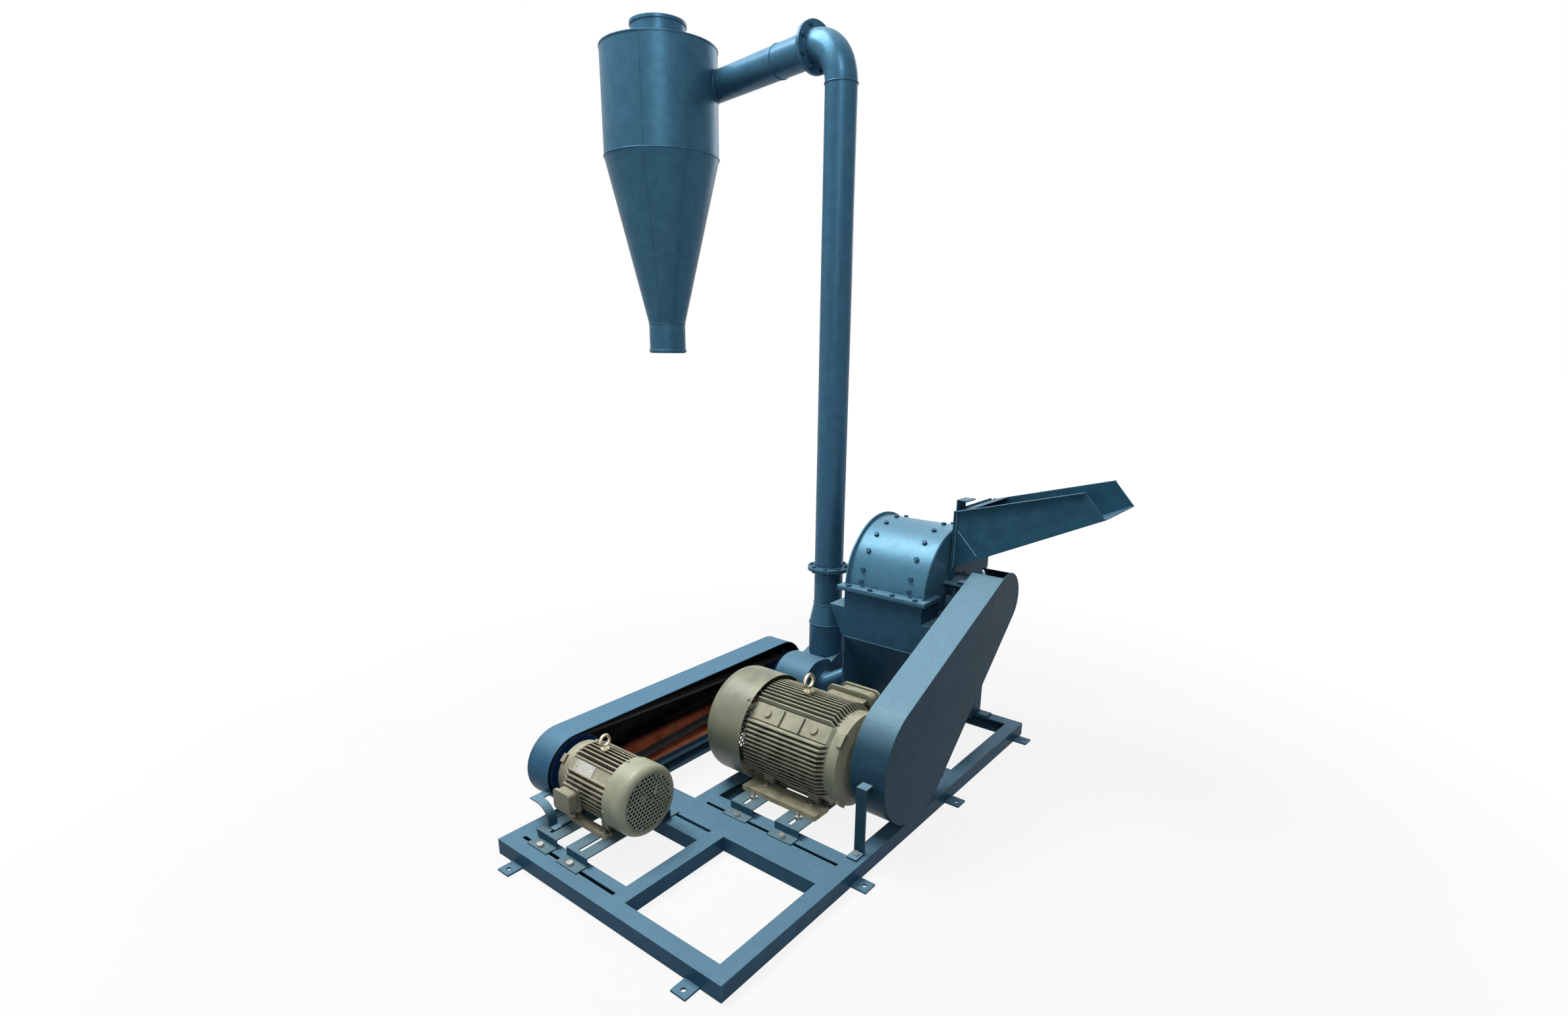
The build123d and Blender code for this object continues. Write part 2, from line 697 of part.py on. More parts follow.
# ---- pulleys and belts ----
def pulley(pitch, belts, x0, y, z, bore):
    """V-belt pulley turned from one blank, with a groove for each belt."""
    top = pitch + belt_over + rim_over_belt
    floor = pitch + belt_over - belt_depth - 2.5
    taper = (belt_top - belt_bottom) / 2 / belt_depth
    mouth = belt_top / 2 + groove_gap + taper * rim_over_belt
    root = belt_bottom / 2 + groove_gap - taper * 2.5
    width = (belts - 1) * groove_step + 2 * groove_edge
    points = [(0, bore), (0, top)]
    for k in range(belts):
        mid = groove_edge + k * groove_step
        points += [(mid - mouth, top), (mid - root, floor), (mid + root, floor), (mid + mouth, top)]
    points += [(width, top), (width, bore)]
    return turned_x([(x0 + x, r) for x, r in points], y, z)


def belts(count, x0, low, low_pitch, high, high_pitch):
    """Set of endless V-belts round two pulleys, each a trapezoid swept round the loop."""
    made = []
    top, bottom = belt_over, belt_over - belt_depth
    for k in range(count):
        mid = x0 + groove_edge + k * groove_step
        outer = loop_outline(low, low_pitch + top, high, high_pitch + top, mid - belt_top / 2)
        inner = loop_outline(low, low_pitch + bottom, high, high_pitch + bottom, mid - belt_top / 2)
        ring = extrude(outer, amount=belt_top, dir=(1, 0, 0)) - extrude(inner, amount=belt_top, dir=(1, 0, 0))
        waist = loop_outline(low, low_pitch + bottom, high, high_pitch + bottom, mid)
        brow = loop_outline(low, low_pitch + top, high, high_pitch + top, mid)
        for side in (-1, 1):
            start = Pos(side * belt_bottom / 2, 0, 0) * waist
            end = Pos(side * belt_top / 2, 0, 0) * brow
            ring -= loft([start, end], ruled=True)
        made.append(ring)
    return Compound(made)


# ---- mill ----
def hopper_outline(inset):
    """Cross-section of the lower body in (y, z): straight above the knee, sloping in below it."""
    front, back = body_front + inset, body_back - inset
    drop = inset * 1.2
    return [(front, rotor_z - flange), (front, knee_z), (front + hopper_run, hopper_z + drop),
            (back - hopper_run, hopper_z + drop), (back, knee_z), (back, rotor_z - flange)]


def cheek(x0):
    """Side plate that is also the stand's leg: upright front edge, flared foot at the back."""
    leg = foot_width + 40
    outline = [
        (body_front, flange), (body_front, rotor_z - flange), (body_back, rotor_z - flange),
        (body_back, stand_high_z), (stand_back_y, stand_low_z), (stand_back_y, flange),
        (stand_back_y - leg, flange), (body_back - leg, hopper_z - 60),
        (body_front + 2 * leg, hopper_z - 60), (body_front + leg, flange),
    ]
    return plate_x(outline, x0, x0 + plate)


def bearing_spans():
    """X range of each bearing, left and right."""
    right = mill_right + cheek_gap
    left = mill_x - cheek_gap
    return ((left - bearing_width, left), (right, right + bearing_width))


def mill_lower_body():
    """Welded lower body: cheeks, hopper, split flange, bearing shelves and feet."""
    inner_right = mill_right - plate
    parts = [cheek(mill_x), cheek(inner_right)]
    hopper = plate_x(hopper_outline(0), mill_x + plate, inner_right)
    hopper -= plate_x(hopper_outline(plate), mill_x + plate, inner_right)
    parts.append(hopper)
    low, high = rotor_z - flange, rotor_z
    ring = block(mill_x - flange_out, mill_right + flange_out, body_front - flange_out,
                 body_back + flange_out, low, high)
    ring -= block(mill_x + plate, inner_right, body_front + plate, body_back - plate, low, high)
    parts.append(ring)
    shelf_top = rotor_z - bearing_height
    for side, face in ((-1, mill_x), (1, mill_right)):
        x0, x1 = sorted((face, face + side * shelf_out))
        parts.append(block(x0, x1, body_front, body_back, shelf_top - shelf, shelf_top))
        for y in (body_front, rotor_y - 90, rotor_y + 90, body_back - plate):
            toe = face + side * 8
            gusset = [(face, shelf_top - shelf), (face + side * (shelf_out - 6), shelf_top - shelf),
                      (toe, shelf_top - shelf - 95), (face, shelf_top - shelf - 95)]
            parts.append(plate_y(gusset, y, y + plate))
        foot0, foot1 = sorted((face, face + side * foot_width))
        parts.append(block(foot0, foot1, body_front, body_front + rail, 0, flange))
        parts.append(block(foot0, foot1, base_length - rail, stand_back_y, 0, flange))
        cheek0, cheek1 = sorted((face, face - side * plate))
        parts.append(block(cheek0, cheek1, body_front, body_front + foot_width + 40, 0, flange))
        parts.append(block(cheek0, cheek1, stand_back_y - foot_width - 40, stand_back_y, 0, flange))
    body = joined(parts)
    notch = bearing_length / 2 + 10
    for x0, x1 in ((mill_x - flange_out - 1, mill_x), (mill_right, mill_right + flange_out + 1)):
        body -= block(x0, x1, rotor_y - notch, rotor_y + notch, low - 1, high + 1)
    body -= bar_x(shaft_radius + 3, mill_x - 1, mill_right + 1, rotor_y, rotor_z)
    body -= bar_x(eye_radius, mill_x - 1, mill_x + plate + 1, *suction_mouth)
    return body


def end_plate(x0, radius):
    """Half-round end plate of the cover, standing on the split flange."""
    disc = bar_x(radius, x0, x0 + plate, rotor_y, rotor_z)
    disc -= block(x0 - 1, x0 + plate + 1, rotor_y - radius - 1, rotor_y + radius + 1,
                  rotor_z - radius - 1, rotor_z + flange)
    return disc - bar_x(shaft_radius + 3, x0 - 1, x0 + plate + 1, rotor_y, rotor_z)


def mill_cover():
    """Half-round top cover with its flange, proud left end plate, feed opening and guard tab."""
    low, high = rotor_z, rotor_z + flange
    inner = cover_radius - cover_skin
    skin = bar_x(cover_radius, mill_x, mill_right, rotor_y, rotor_z)
    skin -= bar_x(inner, mill_x - 1, mill_right + 1, rotor_y, rotor_z)
    skin -= block(mill_x - 1, mill_right + 1, rotor_y - cover_radius - 1, rotor_y + cover_radius + 1,
                  rotor_z - cover_radius - 1, high)
    ring = block(mill_x - flange_out, mill_right + flange_out, body_front - flange_out,
                 body_back + flange_out, low, high)
    ring -= block(mill_x + plate, mill_right - plate, rotor_y - inner, rotor_y + inner, low, high)
    ends = [end_plate(mill_x, cover_radius + rim_out), end_plate(mill_right - plate, cover_radius)]
    cover = joined([skin, ring] + ends)
    notch = bearing_length / 2 + 10
    for x0, x1 in ((mill_x - flange_out - 1, mill_x), (mill_right, mill_right + flange_out + 1)):
        cover -= block(x0, x1, rotor_y - notch, rotor_y + notch, low - 1, high + 1)
    cover -= bar_x(shaft_radius + 3, mill_x - 1, mill_right + 1, rotor_y, rotor_z)
    feed_y0, feed_y1, feed_z0, feed_z1 = feed_opening
    cover -= block(mill_right - plate - 1, mill_right + 1, feed_y0, feed_y1, feed_z0, feed_z1)
    tab = block(mill_right, main_guard_x - 6, *guard_tab_y, guard_tab_z, guard_tab_z + plate)
    return cover + tab


def arc_band(inner, outer, x0, x1, start, end):
    """Part of a tube about the rotor's axis, between two angles measured up from the front."""
    tube = bar_x(outer, x0, x1, 0, 0) - bar_x(inner, x0 - 1, x1 + 1, 0, 0)
    far = 2 * outer
    wedge = [(0, 0)]
    steps = 8
    for k in range(steps + 1):
        a = radians(start + (end - start) * k / steps)
        wedge.append((-far * cos(a), far * sin(a)))
    cutter = plate_x(wedge, x0 - 1, x1 + 1)
    return Pos(0, rotor_y, rotor_z) * (tube & cutter)


def mill_liner():
    """Ribbed wear liner that the cover's bolts hold against its skin."""
    inner = cover_radius - cover_skin
    x0, x1 = mill_x + plate + 4, mill_right - plate - 4
    band = arc_band(inner - liner_thick + 4, inner, x0, x1, 12, 168)
    for k in range(9):
        angle = bolt_step * (k + 1) - bolt_step / 2
        if angle < 20:
            continue
        a = radians(angle)
        rib = block(x0, x1, inner - liner_thick, inner - 1, -7, 7)
        band += Pos(0, rotor_y, rotor_z) * Rot(degrees(pi - a), 0, 0) * rib
    cut = feed_opening
    return band - block(x1 - 40, x1 + 1, cut[0], cut[1], cut[2], rotor_z + inner)


def mill_screen():
    """Half-round screen under the rotor, slotted, with a rim at each end."""
    inner = hammer_reach + screen_gap
    x0, x1 = mill_x + plate, mill_right - plate
    screen = arc_band(inner, inner + screen_thick, x0, x1, -172, -8)
    for x in (x0, x1 - plate):
        screen += arc_band(inner, inner + 14, x, x + plate, -172, -8)
    pitch = (x1 - x0 - 40) / screen_rows
    for j in range(screen_slots):
        angle = 20 + 140 * j / (screen_slots - 1)
        for k in range(screen_rows):
            mid = x0 + 20 + pitch * (k + 0.5)
            hole = block(mid - 0.36 * pitch, mid + 0.36 * pitch, inner - 2, inner + screen_thick + 2, -6, 6)
            screen -= Pos(0, rotor_y, rotor_z) * Rot(-angle, 0, 0) * hole
    return screen


def rotor_shaft():
    """Stepped mill shaft from the left bearing to the end of its pulley."""
    left = bearing_spans()[0][0] - 4
    drive = main_pulley_x + (main_belts - 1) * groove_step + 2 * groove_edge
    step0, step1 = disc_places[0] - 14, disc_places[-1] + 14
    return turned_x([(left, 0), (left, shaft_radius), (step0, shaft_radius), (step0, shaft_step),
                     (step1, shaft_step), (step1, shaft_radius), (drive, shaft_radius), (drive, 0)],
                    rotor_y, rotor_z)


def rotor_discs():
    """Discs that carry the hammer pins, lightened between them."""
    discs = []
    pin_hole, window = (pin_radius, pin_circle), (window_radius, window_circle)
    for x in disc_places:
        disc = bar_x(disc_radius, x - disc_thick / 2, x + disc_thick / 2, 0, 0)
        disc -= bar_x(shaft_step, x - disc_thick, x + disc_thick, 0, 0)
        for angle in rows:
            for radius, circle, turn in (pin_hole + (angle,), window + (angle + 45,)):
                y, z = circle * cos(radians(turn)), circle * sin(radians(turn))
                disc -= bar_x(radius, x - disc_thick, x + disc_thick, y, z)
        discs.append(Pos(0, rotor_y, rotor_z) * disc)
    return Compound(discs)


def hammer_pins():
    """Pins through the discs, headed at the left end and with a collar at the right."""
    x0, x1 = disc_places[0] - disc_thick / 2, disc_places[-1] + disc_thick / 2
    pins = []
    for angle in rows:
        a = radians(angle)
        y, z = rotor_y + pin_circle * cos(a), rotor_z + pin_circle * sin(a)
        pin = bar_x(pin_radius, x0, x1, y, z)
        pins.append(pin + bar_x(pin_radius + 4, x0 - 6, x0, y, z) + bar_x(pin_radius + 4, x1, x1 + 6, y, z))
    return Compound(pins)


def hammer(x, side):
    """One swinging hammer about a pin at the origin, hanging straight down."""
    mid = x + side * hammer_offset
    half, nip = hammer_width / 2, hammer_width / 6
    tip = hammer_reach - pin_circle
    outline = [(-half, -tip), (half, -tip), (half, hammer_tail - nip), (half - nip, hammer_tail),
               (nip - half, hammer_tail), (-half, hammer_tail - nip)]
    blade = plate_x(outline, mid - hammer_thick / 2, mid + hammer_thick / 2)
    blade &= Pos(0, 0, pin_circle) * bar_x(hammer_reach, mid - hammer_thick, mid + hammer_thick, 0, 0)
    return blade - bar_x(pin_radius + running, mid - hammer_thick, mid + hammer_thick, 0, 0)


def hammer_row(row):
    """The hammers of one pin, on alternate sides of the gaps between discs, hanging at rest."""
    a = radians(rows[row])
    made = []
    for k, x in enumerate(gap_places):
        side = 1 if (k + row) % 2 else -1
        made.append(hammer(x, side))
    return Pos(0, rotor_y + pin_circle * cos(a), rotor_z + pin_circle * sin(a)) * Compound(made)


def mill_bearings():
    """Split pillow-block housings on the shelves, one each side."""
    blocks = []
    base_z = rotor_z - bearing_height
    half = bearing_length / 2
    for x0, x1 in bearing_spans():
        arch = bar_x(bearing_radius, x0, x1, rotor_y, rotor_z)
        arch += block(x0, x1, rotor_y - half, rotor_y + half, base_z, base_z + bearing_base)
        arch += plate_x([(rotor_y - 92, base_z), (rotor_y - 76, rotor_z - 4), (rotor_y + 76, rotor_z - 4),
                         (rotor_y + 92, base_z)], x0, x1)
        for y in (rotor_y - 68, rotor_y + 68):
            arch += bar_z(10, rotor_z - 6, rotor_z + 26, (x0 + x1) / 2, y)
        arch += bar_z(6, rotor_z + bearing_radius - 3, rotor_z + bearing_radius + 9, (x0 + x1) / 2, rotor_y)
        arch -= bar_x(shaft_radius + running, x0 - 1, x1 + 1, rotor_y, rotor_z)
        blocks.append(arch)
        for y in (rotor_y - half + 24, rotor_y + half - 24):
            bolt = hexagon_z(27, base_z + bearing_base, base_z + bearing_base + 13, (x0 + x1) / 2, y)
            blocks.append(bolt)
    return Compound(blocks)


def cover_bolts():
    """Liner bolts in two rows round the cover."""
    bolts = []
    angles = [bolt_step * k for k in range(1, 10)]
    angles += [bolt_step / 2.6, 180 - bolt_step / 2.6]
    for x in (mill_x + bolt_row_in, mill_right - bolt_row_in):
        for angle in angles:
            head = hexagon_z(16, cover_radius, cover_radius + 8, 0, 0)
            bolts.append(Pos(x, rotor_y, rotor_z) * Rot(angle - 90, 0, 0) * head)
    return Compound(bolts)


def flange_bolts():
    """Bolts of the split flange and of both pipe joints."""
    bolts = []
    low = rotor_z - flange
    pitch = (mill_width - 2 * flange_bolt_in) / (flange_bolt_count - 1)
    for k in range(flange_bolt_count):
        x = mill_x + flange_bolt_in + k * pitch
        for y in (body_front - flange_out / 2, body_back + flange_out / 2):
            bolts.append(hexagon_z(17, low - 7, low, x, y))
            bolts.append(hexagon_z(17, rotor_z + flange, rotor_z + flange + 8, x, y))
    for k in range(pipe_bolts):
        a = radians(360 * (k + 0.5) / pipe_bolts)
        x, y = riser_x + pipe_bolt_circle * cos(a), riser_y + pipe_bolt_circle * sin(a)
        bolts.append(hexagon_z(13, joint_z + pipe_flange, joint_z + pipe_flange + 7, x, y))
        bolts.append(hexagon_z(13, joint_z - pipe_flange - 7, joint_z - pipe_flange, x, y))
        y, z = pipe_bolt_circle * cos(a), pipe_bolt_circle * sin(a)
        bolts.append(on_duct(hexagon_x(13, -pipe_flange - 7, -pipe_flange, y, z)))
        bolts.append(on_duct(hexagon_x(13, pipe_flange, pipe_flange + 7, y, z)))
    return Compound(bolts)


# ---- feed chute ----
def chute_side(inset, top):
    """Side view of the chute in (x, z): a short throat that runs into the tapering tray."""
    low, high = rotor_z + inset, rotor_z + top
    return [(chute_start, low + throat_low), (mill_right + bend_out, low + bend_low),
            (mill_right + mouth_out, low + mouth_low), (mill_right + brow_out, high + brow_high),
            (chute_start, high + throat_high)]


def brow_strip(run, y0, y1):
    """Strip as thick as the tray along its upper edge, from the throat to a distance along X."""
    rise = (brow_high - throat_high) / (mill_right + brow_out - chute_start) * run
    low, high = rotor_z + throat_high - chute_wall, rotor_z + throat_high
    end = chute_start + run
    return plate_y([(chute_start, low), (end, low + rise), (end, high + rise), (chute_start, high)], y0, y1)


def feed_chute():
    """Open tray with turned-out lips, closed throat, gate guides and a magnet box under the floor."""
    y0, y1 = chute_y, chute_y + chute_width
    tray = plate_y(chute_side(0, 0), y0, y1)
    tray -= plate_y(chute_side(chute_wall, 10 * chute_wall), y0 + chute_wall, y1 - chute_wall)
    whole = mill_right + brow_out - chute_start
    tray += brow_strip(whole, y0 - chute_lip, y0) + brow_strip(whole, y1, y1 + chute_lip)
    tray += brow_strip(bridge_run, y0, y1)
    bend_x, bend_z = mill_right + bend_out, rotor_z + bend_low
    low = rotor_z + throat_low
    magnet = [(chute_start, low), (bend_x, bend_z), (bend_x, bend_z - magnet_drop),
              (chute_start, low - magnet_drop / 2)]
    tray += plate_y(magnet, y0 + chute_wall, y1 - chute_wall)
    joint = chute_start + gate_free / 2
    for a, b in ((y0, y0 + guide_width), (y1 - guide_width, y1)):
        tray += block(mill_right, joint, a, b, rotor_z + guide_low, rotor_z + throat_high)
    return tray + block(mill_right, joint, y0, y1, rotor_z + guide_low, low - 2)


def slide_gate():
    """Slide gate in front of the feed opening, with a bent finger tab."""
    x0 = mill_right + gate_gap - gate_free / 2
    x1 = x0 + gate_thick
    inset = guide_width + loose
    y0, y1 = chute_y + inset, chute_y + chute_width - inset
    high = rotor_z + throat_high + 38
    blade = block(x0, x1, y0, y1, rotor_z + throat_low - 2 + loose, rotor_z + throat_high + 6)
    blade += block(x0, x1, y0, y0 + gate_tab, rotor_z + throat_high, high)
    return blade + block(x0, x0 + gate_handle, y0, y0 + gate_tab, high - gate_thick, high)


# ---- blower ----
def scroll_outline(inset, x):
    """Scroll face in the plane at x: from the tongue round the shaft, then up the back of the neck."""
    steps = 14
    points = []
    for k in range(steps + 1):
        turn = tongue + (360 - tongue) * k / steps
        r = scroll_start + scroll_growth * max(0.0, turn - 90) / 270 - inset
        a = radians(turn)
        points.append((x, blower_y + r * cos(a), blower_z + r * sin(a)))
    top = mitre_z + blower_width
    front, back = riser_y - blower_width / 2 + inset, points[-1][1]
    rest = Polyline([points[-1], (x, back, top), (x, front, top), (x, front, points[0][2]), points[0]])
    return make_face([Spline(points)] + list(rest.edges()))


def mitre_cut(drop):
    """Everything above the slanting top of the blower's neck, lowered by a plate's thickness."""
    half, far = blower_width / 2, 2 * blower_width
    low = mitre_z - drop
    outline = [(riser_y - half, low - mitre_slope * half), (riser_y + far, low + mitre_slope * far),
               (riser_y + far, low + 2 * far), (riser_y - half, low + 2 * far)]
    return plate_x(outline, riser_x - far, riser_x + far)


def blower_casing():
    """Scroll casing with a slant-topped neck, an inlet eye, a shaft hole and two footed angles."""
    x0, x1 = blower_x, blower_x + blower_width
    wall = blower_wall
    outer = extrude(scroll_outline(0, x0), amount=blower_width, dir=(1, 0, 0)) - mitre_cut(0)
    inner = extrude(scroll_outline(wall, x0 + wall), amount=blower_width - 2 * wall, dir=(1, 0, 0))
    casing = outer - (inner - mitre_cut(wall))
    casing -= bar_z(collar_radius - pipe_wall, mitre_z - 60, mitre_z + 60, riser_x, riser_y)
    casing -= bar_x(blower_shaft + 2, x0 - 1, x0 + wall + 1, blower_y, blower_z)
    casing -= bar_x(eye_radius - pipe_wall, x1 - wall - 1, x1 + 1, blower_y, blower_z)
    for face, toe in ((x0, 12.0), (x1, side_rail_x + rail - 10)):
        foot0, foot1 = sorted((face, toe))
        casing += block(foot0, foot1, blower_y - 45, blower_y + 45, 0, 6)
        leg0, leg1 = sorted((face, face + (6 if toe > face else -6)))
        casing += block(leg0, leg1, blower_y - 45, blower_y + 45, 0, 60)
    return casing


def blower_bearing():
    """Flanged cartridge that carries the blower shaft, bolted to the casing."""
    x0 = blower_x - 12
    nose = blower_pulley_x + (blower_belts - 1) * groove_step + 2 * groove_edge + 8
    points = [(nose, blower_shaft + running), (nose, cartridge_radius), (x0, cartridge_radius),
              (x0, cartridge_radius + 18), (blower_x, cartridge_radius + 18),
              (blower_x, blower_shaft + running)]
    body = turned_x(points, blower_y, blower_z)
    for k in range(4):
        a = radians(45 + 90 * k)
        y = blower_y + (cartridge_radius + 10) * cos(a)
        z = blower_z + (cartridge_radius + 10) * sin(a)
        body += hexagon_x(13, x0 - 8, x0, y, z)
    return body


def blower_shaft_part():
    """Blower shaft from the pulley's end to the impeller's hub."""
    return bar_x(blower_shaft, blower_pulley_x - 4, blower_x + blower_width - 40, blower_y, blower_z)


def impeller():
    """Radial material-handling impeller: a back disc, a hub and six straight blades."""
    x0 = blower_x + blower_wall + 10
    x1 = blower_x + blower_width - 42
    wheel = bar_x(impeller_radius, x0, x0 + 5, blower_y, blower_z)
    wheel += bar_x(34, x0, x0 + 60, blower_y, blower_z)
    for k in range(6):
        blade = block(x0, x1, 30, impeller_radius, -2.5, 2.5)
        wheel += Pos(0, blower_y, blower_z) * Rot(60 * k + 15, 0, 0) * blade
    return wheel - bar_x(blower_shaft, x0 - 1, x1 + 1, blower_y, blower_z)


def joggled(radius, x0, x1, x2, x3, high, low):
    """Round bar along X that steps sideways between x1 and x2, through mitred joints."""
    first = Plane(origin=(x1, *high), z_dir=(1, 0, 0)) * Circle(radius)
    second = Plane(origin=(x2, *low), z_dir=(1, 0, 0)) * Circle(radius)
    bend = loft([first, second], ruled=True)
    return bar_x(radius, x0, x1, *high) + bend + bar_x(radius, x2, x3, *low)


def suction_duct():
    """Joggled pipe from the hopper's mouth to the blower's eye, flanged at both ends."""
    high, low = suction_mouth, (blower_y, blower_z)
    x0, x3 = mill_x, blower_x + blower_width
    x1, x2 = x0 - duct_straight, x3 + duct_straight
    bore = eye_radius - pipe_wall
    pipe = joggled(eye_radius, x0, x1, x2, x3, high, low)
    pipe += bar_x(eye_radius + eye_flange, x0 - plate, x0, *high)
    pipe += bar_x(eye_radius + eye_flange, x3, x3 + plate, *low)
    return pipe - joggled(bore, x0 + 1, x1, x2, x3 - 1, high, low)


def discharge_neck():
    """Round collar on the mitre, a cone and a flanged neck under the riser."""
    low = mitre_z - blower_width / 2
    profile = [(collar_radius, low), (collar_radius, neck_low_z), (pipe_radius, neck_high_z),
               (pipe_radius, joint_z - pipe_flange), (pipe_flange_radius, joint_z - pipe_flange),
               (pipe_flange_radius, joint_z)]
    bore = [(pipe_radius - pipe_wall, joint_z), (pipe_radius - pipe_wall, neck_high_z),
            (collar_radius - pipe_wall, neck_low_z), (collar_radius - pipe_wall, low)]
    return turned_z(profile + bore, riser_x, riser_y) & mitre_cut(0)


# ---- pipes to the cyclone ----
def riser_pipe():
    """Riser with its bottom flange."""
    inner = pipe_radius - pipe_wall
    top = duct_z - elbow_radius
    over = joint_z + pipe_flange
    profile = [(inner, joint_z), (pipe_flange_radius, joint_z), (pipe_flange_radius, over),
               (pipe_radius, over), (pipe_radius, top), (inner, top)]
    return turned_z(profile, riser_x, riser_y)


def on_duct(shape):
    """Place a shape drawn about a joint at x = 0 with the duct's axis along X."""
    start = Pos(riser_x, riser_y, duct_z) * Rot(0, 0, 180 - degrees(yaw))
    return start * Pos(elbow_radius, 0, 0) * shape


def elbow():
    """Round elbow from the riser to the cross duct, with its flange."""
    inner = pipe_radius - pipe_wall
    ring = make_face(Circle(pipe_radius).edge()) - make_face(Circle(inner).edge())
    bend = Rot(0, 0, 180 - degrees(yaw)) * revolve(ring, Axis((elbow_radius, 0, 0), (0, 1, 0)), 90)
    bend = Pos(riser_x, riser_y, duct_z - elbow_radius) * bend
    collar = bar_x(pipe_flange_radius, -pipe_flange, 0, 0, 0) - bar_x(inner, -pipe_flange - 1, 1, 0, 0)
    return bend + on_duct(collar)


def cross_duct():
    """Level duct that enters the cyclone along a tangent, trimmed to its wall."""
    inner = pipe_radius - pipe_wall
    reach = to_cyclone - elbow_radius
    pipe = bar_x(pipe_radius, 0, reach, 0, 0) - bar_x(inner, -1, reach + 1, 0, 0)
    collar = bar_x(pipe_flange_radius, 0, pipe_flange, 0, 0) - bar_x(inner, -1, pipe_flange + 1, 0, 0)
    duct = on_duct(pipe + collar)
    return duct - bar_z(cyclone_radius, cyclone_seam, cyclone_top, cyclone_x, cyclone_y)


# ---- cyclone ----
def cyclone_body():
    """Cylinder, cone and spout of one shell, with the duct's tangential opening."""
    wall = cyclone_wall
    proud = spout_radius + bead
    outer = [(cyclone_radius, cyclone_top), (cyclone_radius, cyclone_seam), (spout_radius, cone_bottom),
             (spout_radius, spout_bottom + 14), (proud, spout_bottom + 14), (proud, spout_bottom + 6),
             (spout_radius, spout_bottom + 6), (spout_radius, spout_bottom)]
    inner = [(spout_radius - wall, spout_bottom), (spout_radius - wall, cone_bottom),
             (cyclone_radius - wall, cyclone_seam), (cyclone_radius - wall, cyclone_top)]
    shell = turned_z(outer + inner, cyclone_x, cyclone_y)
    reach = to_cyclone - elbow_radius
    return shell - on_duct(bar_x(pipe_radius - pipe_wall, 300, reach, 0, 0))


def cyclone_lid():
    """Flat lid with the outlet collar above it and the vortex finder below."""
    bore, proud, edge = outlet_radius - cyclone_wall, outlet_radius + bead, cyclone_radius + 2
    points = [(bore, finder_bottom), (outlet_radius, finder_bottom), (outlet_radius, cyclone_top),
              (edge, cyclone_top), (edge, cyclone_top + 5), (outlet_radius, cyclone_top + 5),
              (outlet_radius, outlet_top - 12), (proud, outlet_top - 12), (proud, outlet_top),
              (bore, outlet_top)]
    return turned_z(points, cyclone_x, cyclone_y)


# ---- guards ----
def trough(x0, depth, low, low_radius, high, high_radius, plate_side):
    """Belt guard: a folded rim round a loop outline, closed by a plate on one side."""
    rim = extrude(loop_outline(low, low_radius, high, high_radius, x0), amount=depth, dir=(1, 0, 0))
    start = x0 - 1 if plate_side > 0 else x0 + guard_wall
    cavity = loop_outline(low, low_radius - guard_wall, high, high_radius - guard_wall, start)
    return rim - extrude(cavity, amount=depth - guard_wall + 1, dir=(1, 0, 0))


def main_guard():
    """Guard over the mill's drive: open crown, bolting lug and a saddle for the strut."""
    guard = trough(main_guard_x, main_guard_depth, main_guard_low, main_guard_low_radius, main_guard_high,
                   main_guard_high_radius, 1)
    crown_y, crown_z = main_guard_high
    guard -= block(main_guard_x - 1, main_guard_x + main_guard_depth - guard_wall, crown_y - 40,
                   crown_y - 40 + crown_cut, crown_z, crown_z + 2 * main_guard_high_radius)
    lug_z = guard_tab_z + plate
    return guard + block(main_guard_x - 28, main_guard_x + guard_wall, *guard_tab_y, lug_z, lug_z + 12)


def blower_guard():
    """Guard over the blower's drive, open towards the motor."""
    low, high = [(y, blower_guard_z) for y in blower_guard_ends]
    return trough(blower_guard_x, blower_guard_depth, low, blower_guard_radius, high, blower_guard_radius, -1)


def main_strut():
    """Strap from the side rail to the main guard, bent out at the foot and in at the top."""
    wall = strut_wall
    drop = main_guard_low[1] - strut_top + wall / 2
    touch = main_guard_low[0] - sqrt(main_guard_low_radius ** 2 - drop ** 2) + 1
    toe, low = strut_y - strut_foot, strut_top - wall
    outline = [(toe, 0), (strut_y, 0), (strut_y, low), (touch, low), (touch, strut_top),
               (strut_y - wall, strut_top), (strut_y - wall, wall), (toe, wall)]
    strap = plate_x(outline, strut_x - strut_width / 2, strut_x + strut_width / 2)
    return strap - bar_x(main_guard_low_radius, strut_x - strut_width, strut_x + strut_width, *main_guard_low)


def guard_stay():
    """Curved strap from the blower motor's slide rail up to the blower guard's rim."""
    y0, y1 = stay_y
    edge, seat = blower_guard_x + blower_guard_depth, slide_height + stay_wall
    inner = stay_radius - stay_wall
    ring = bar_y(stay_radius, y0, y1, edge, seat) - bar_y(inner, y0 - 1, y1 + 1, edge, seat)
    ring &= block(edge, edge + stay_radius, y0, y1, seat, seat + stay_radius)
    toe = block(edge + inner, edge + stay_radius + 24, y0, y1, slide_height, seat)
    arm = block(edge - 30, edge, y0, y1 + stay_reach, seat + inner, seat + stay_radius)
    rim_y, rim_z = blower_guard_ends[0], blower_guard_z
    return ring + toe + arm - bar_x(blower_guard_radius, edge - 31, edge, rim_y, rim_z)


def guard_struts():
    """Strut of the main guard, and the stay and feet of the blower guard."""
    pieces = [main_strut(), guard_stay()]
    under = blower_guard_z - blower_guard_radius
    for y in (blower_guard_ends[0] + 25, blower_guard_ends[1] - 90):
        pieces.append(block(8, 42, y - 20, y + 20, 0, 5) + block(20, 25, y - 20, y + 20, 0, under))
    return Compound(pieces)


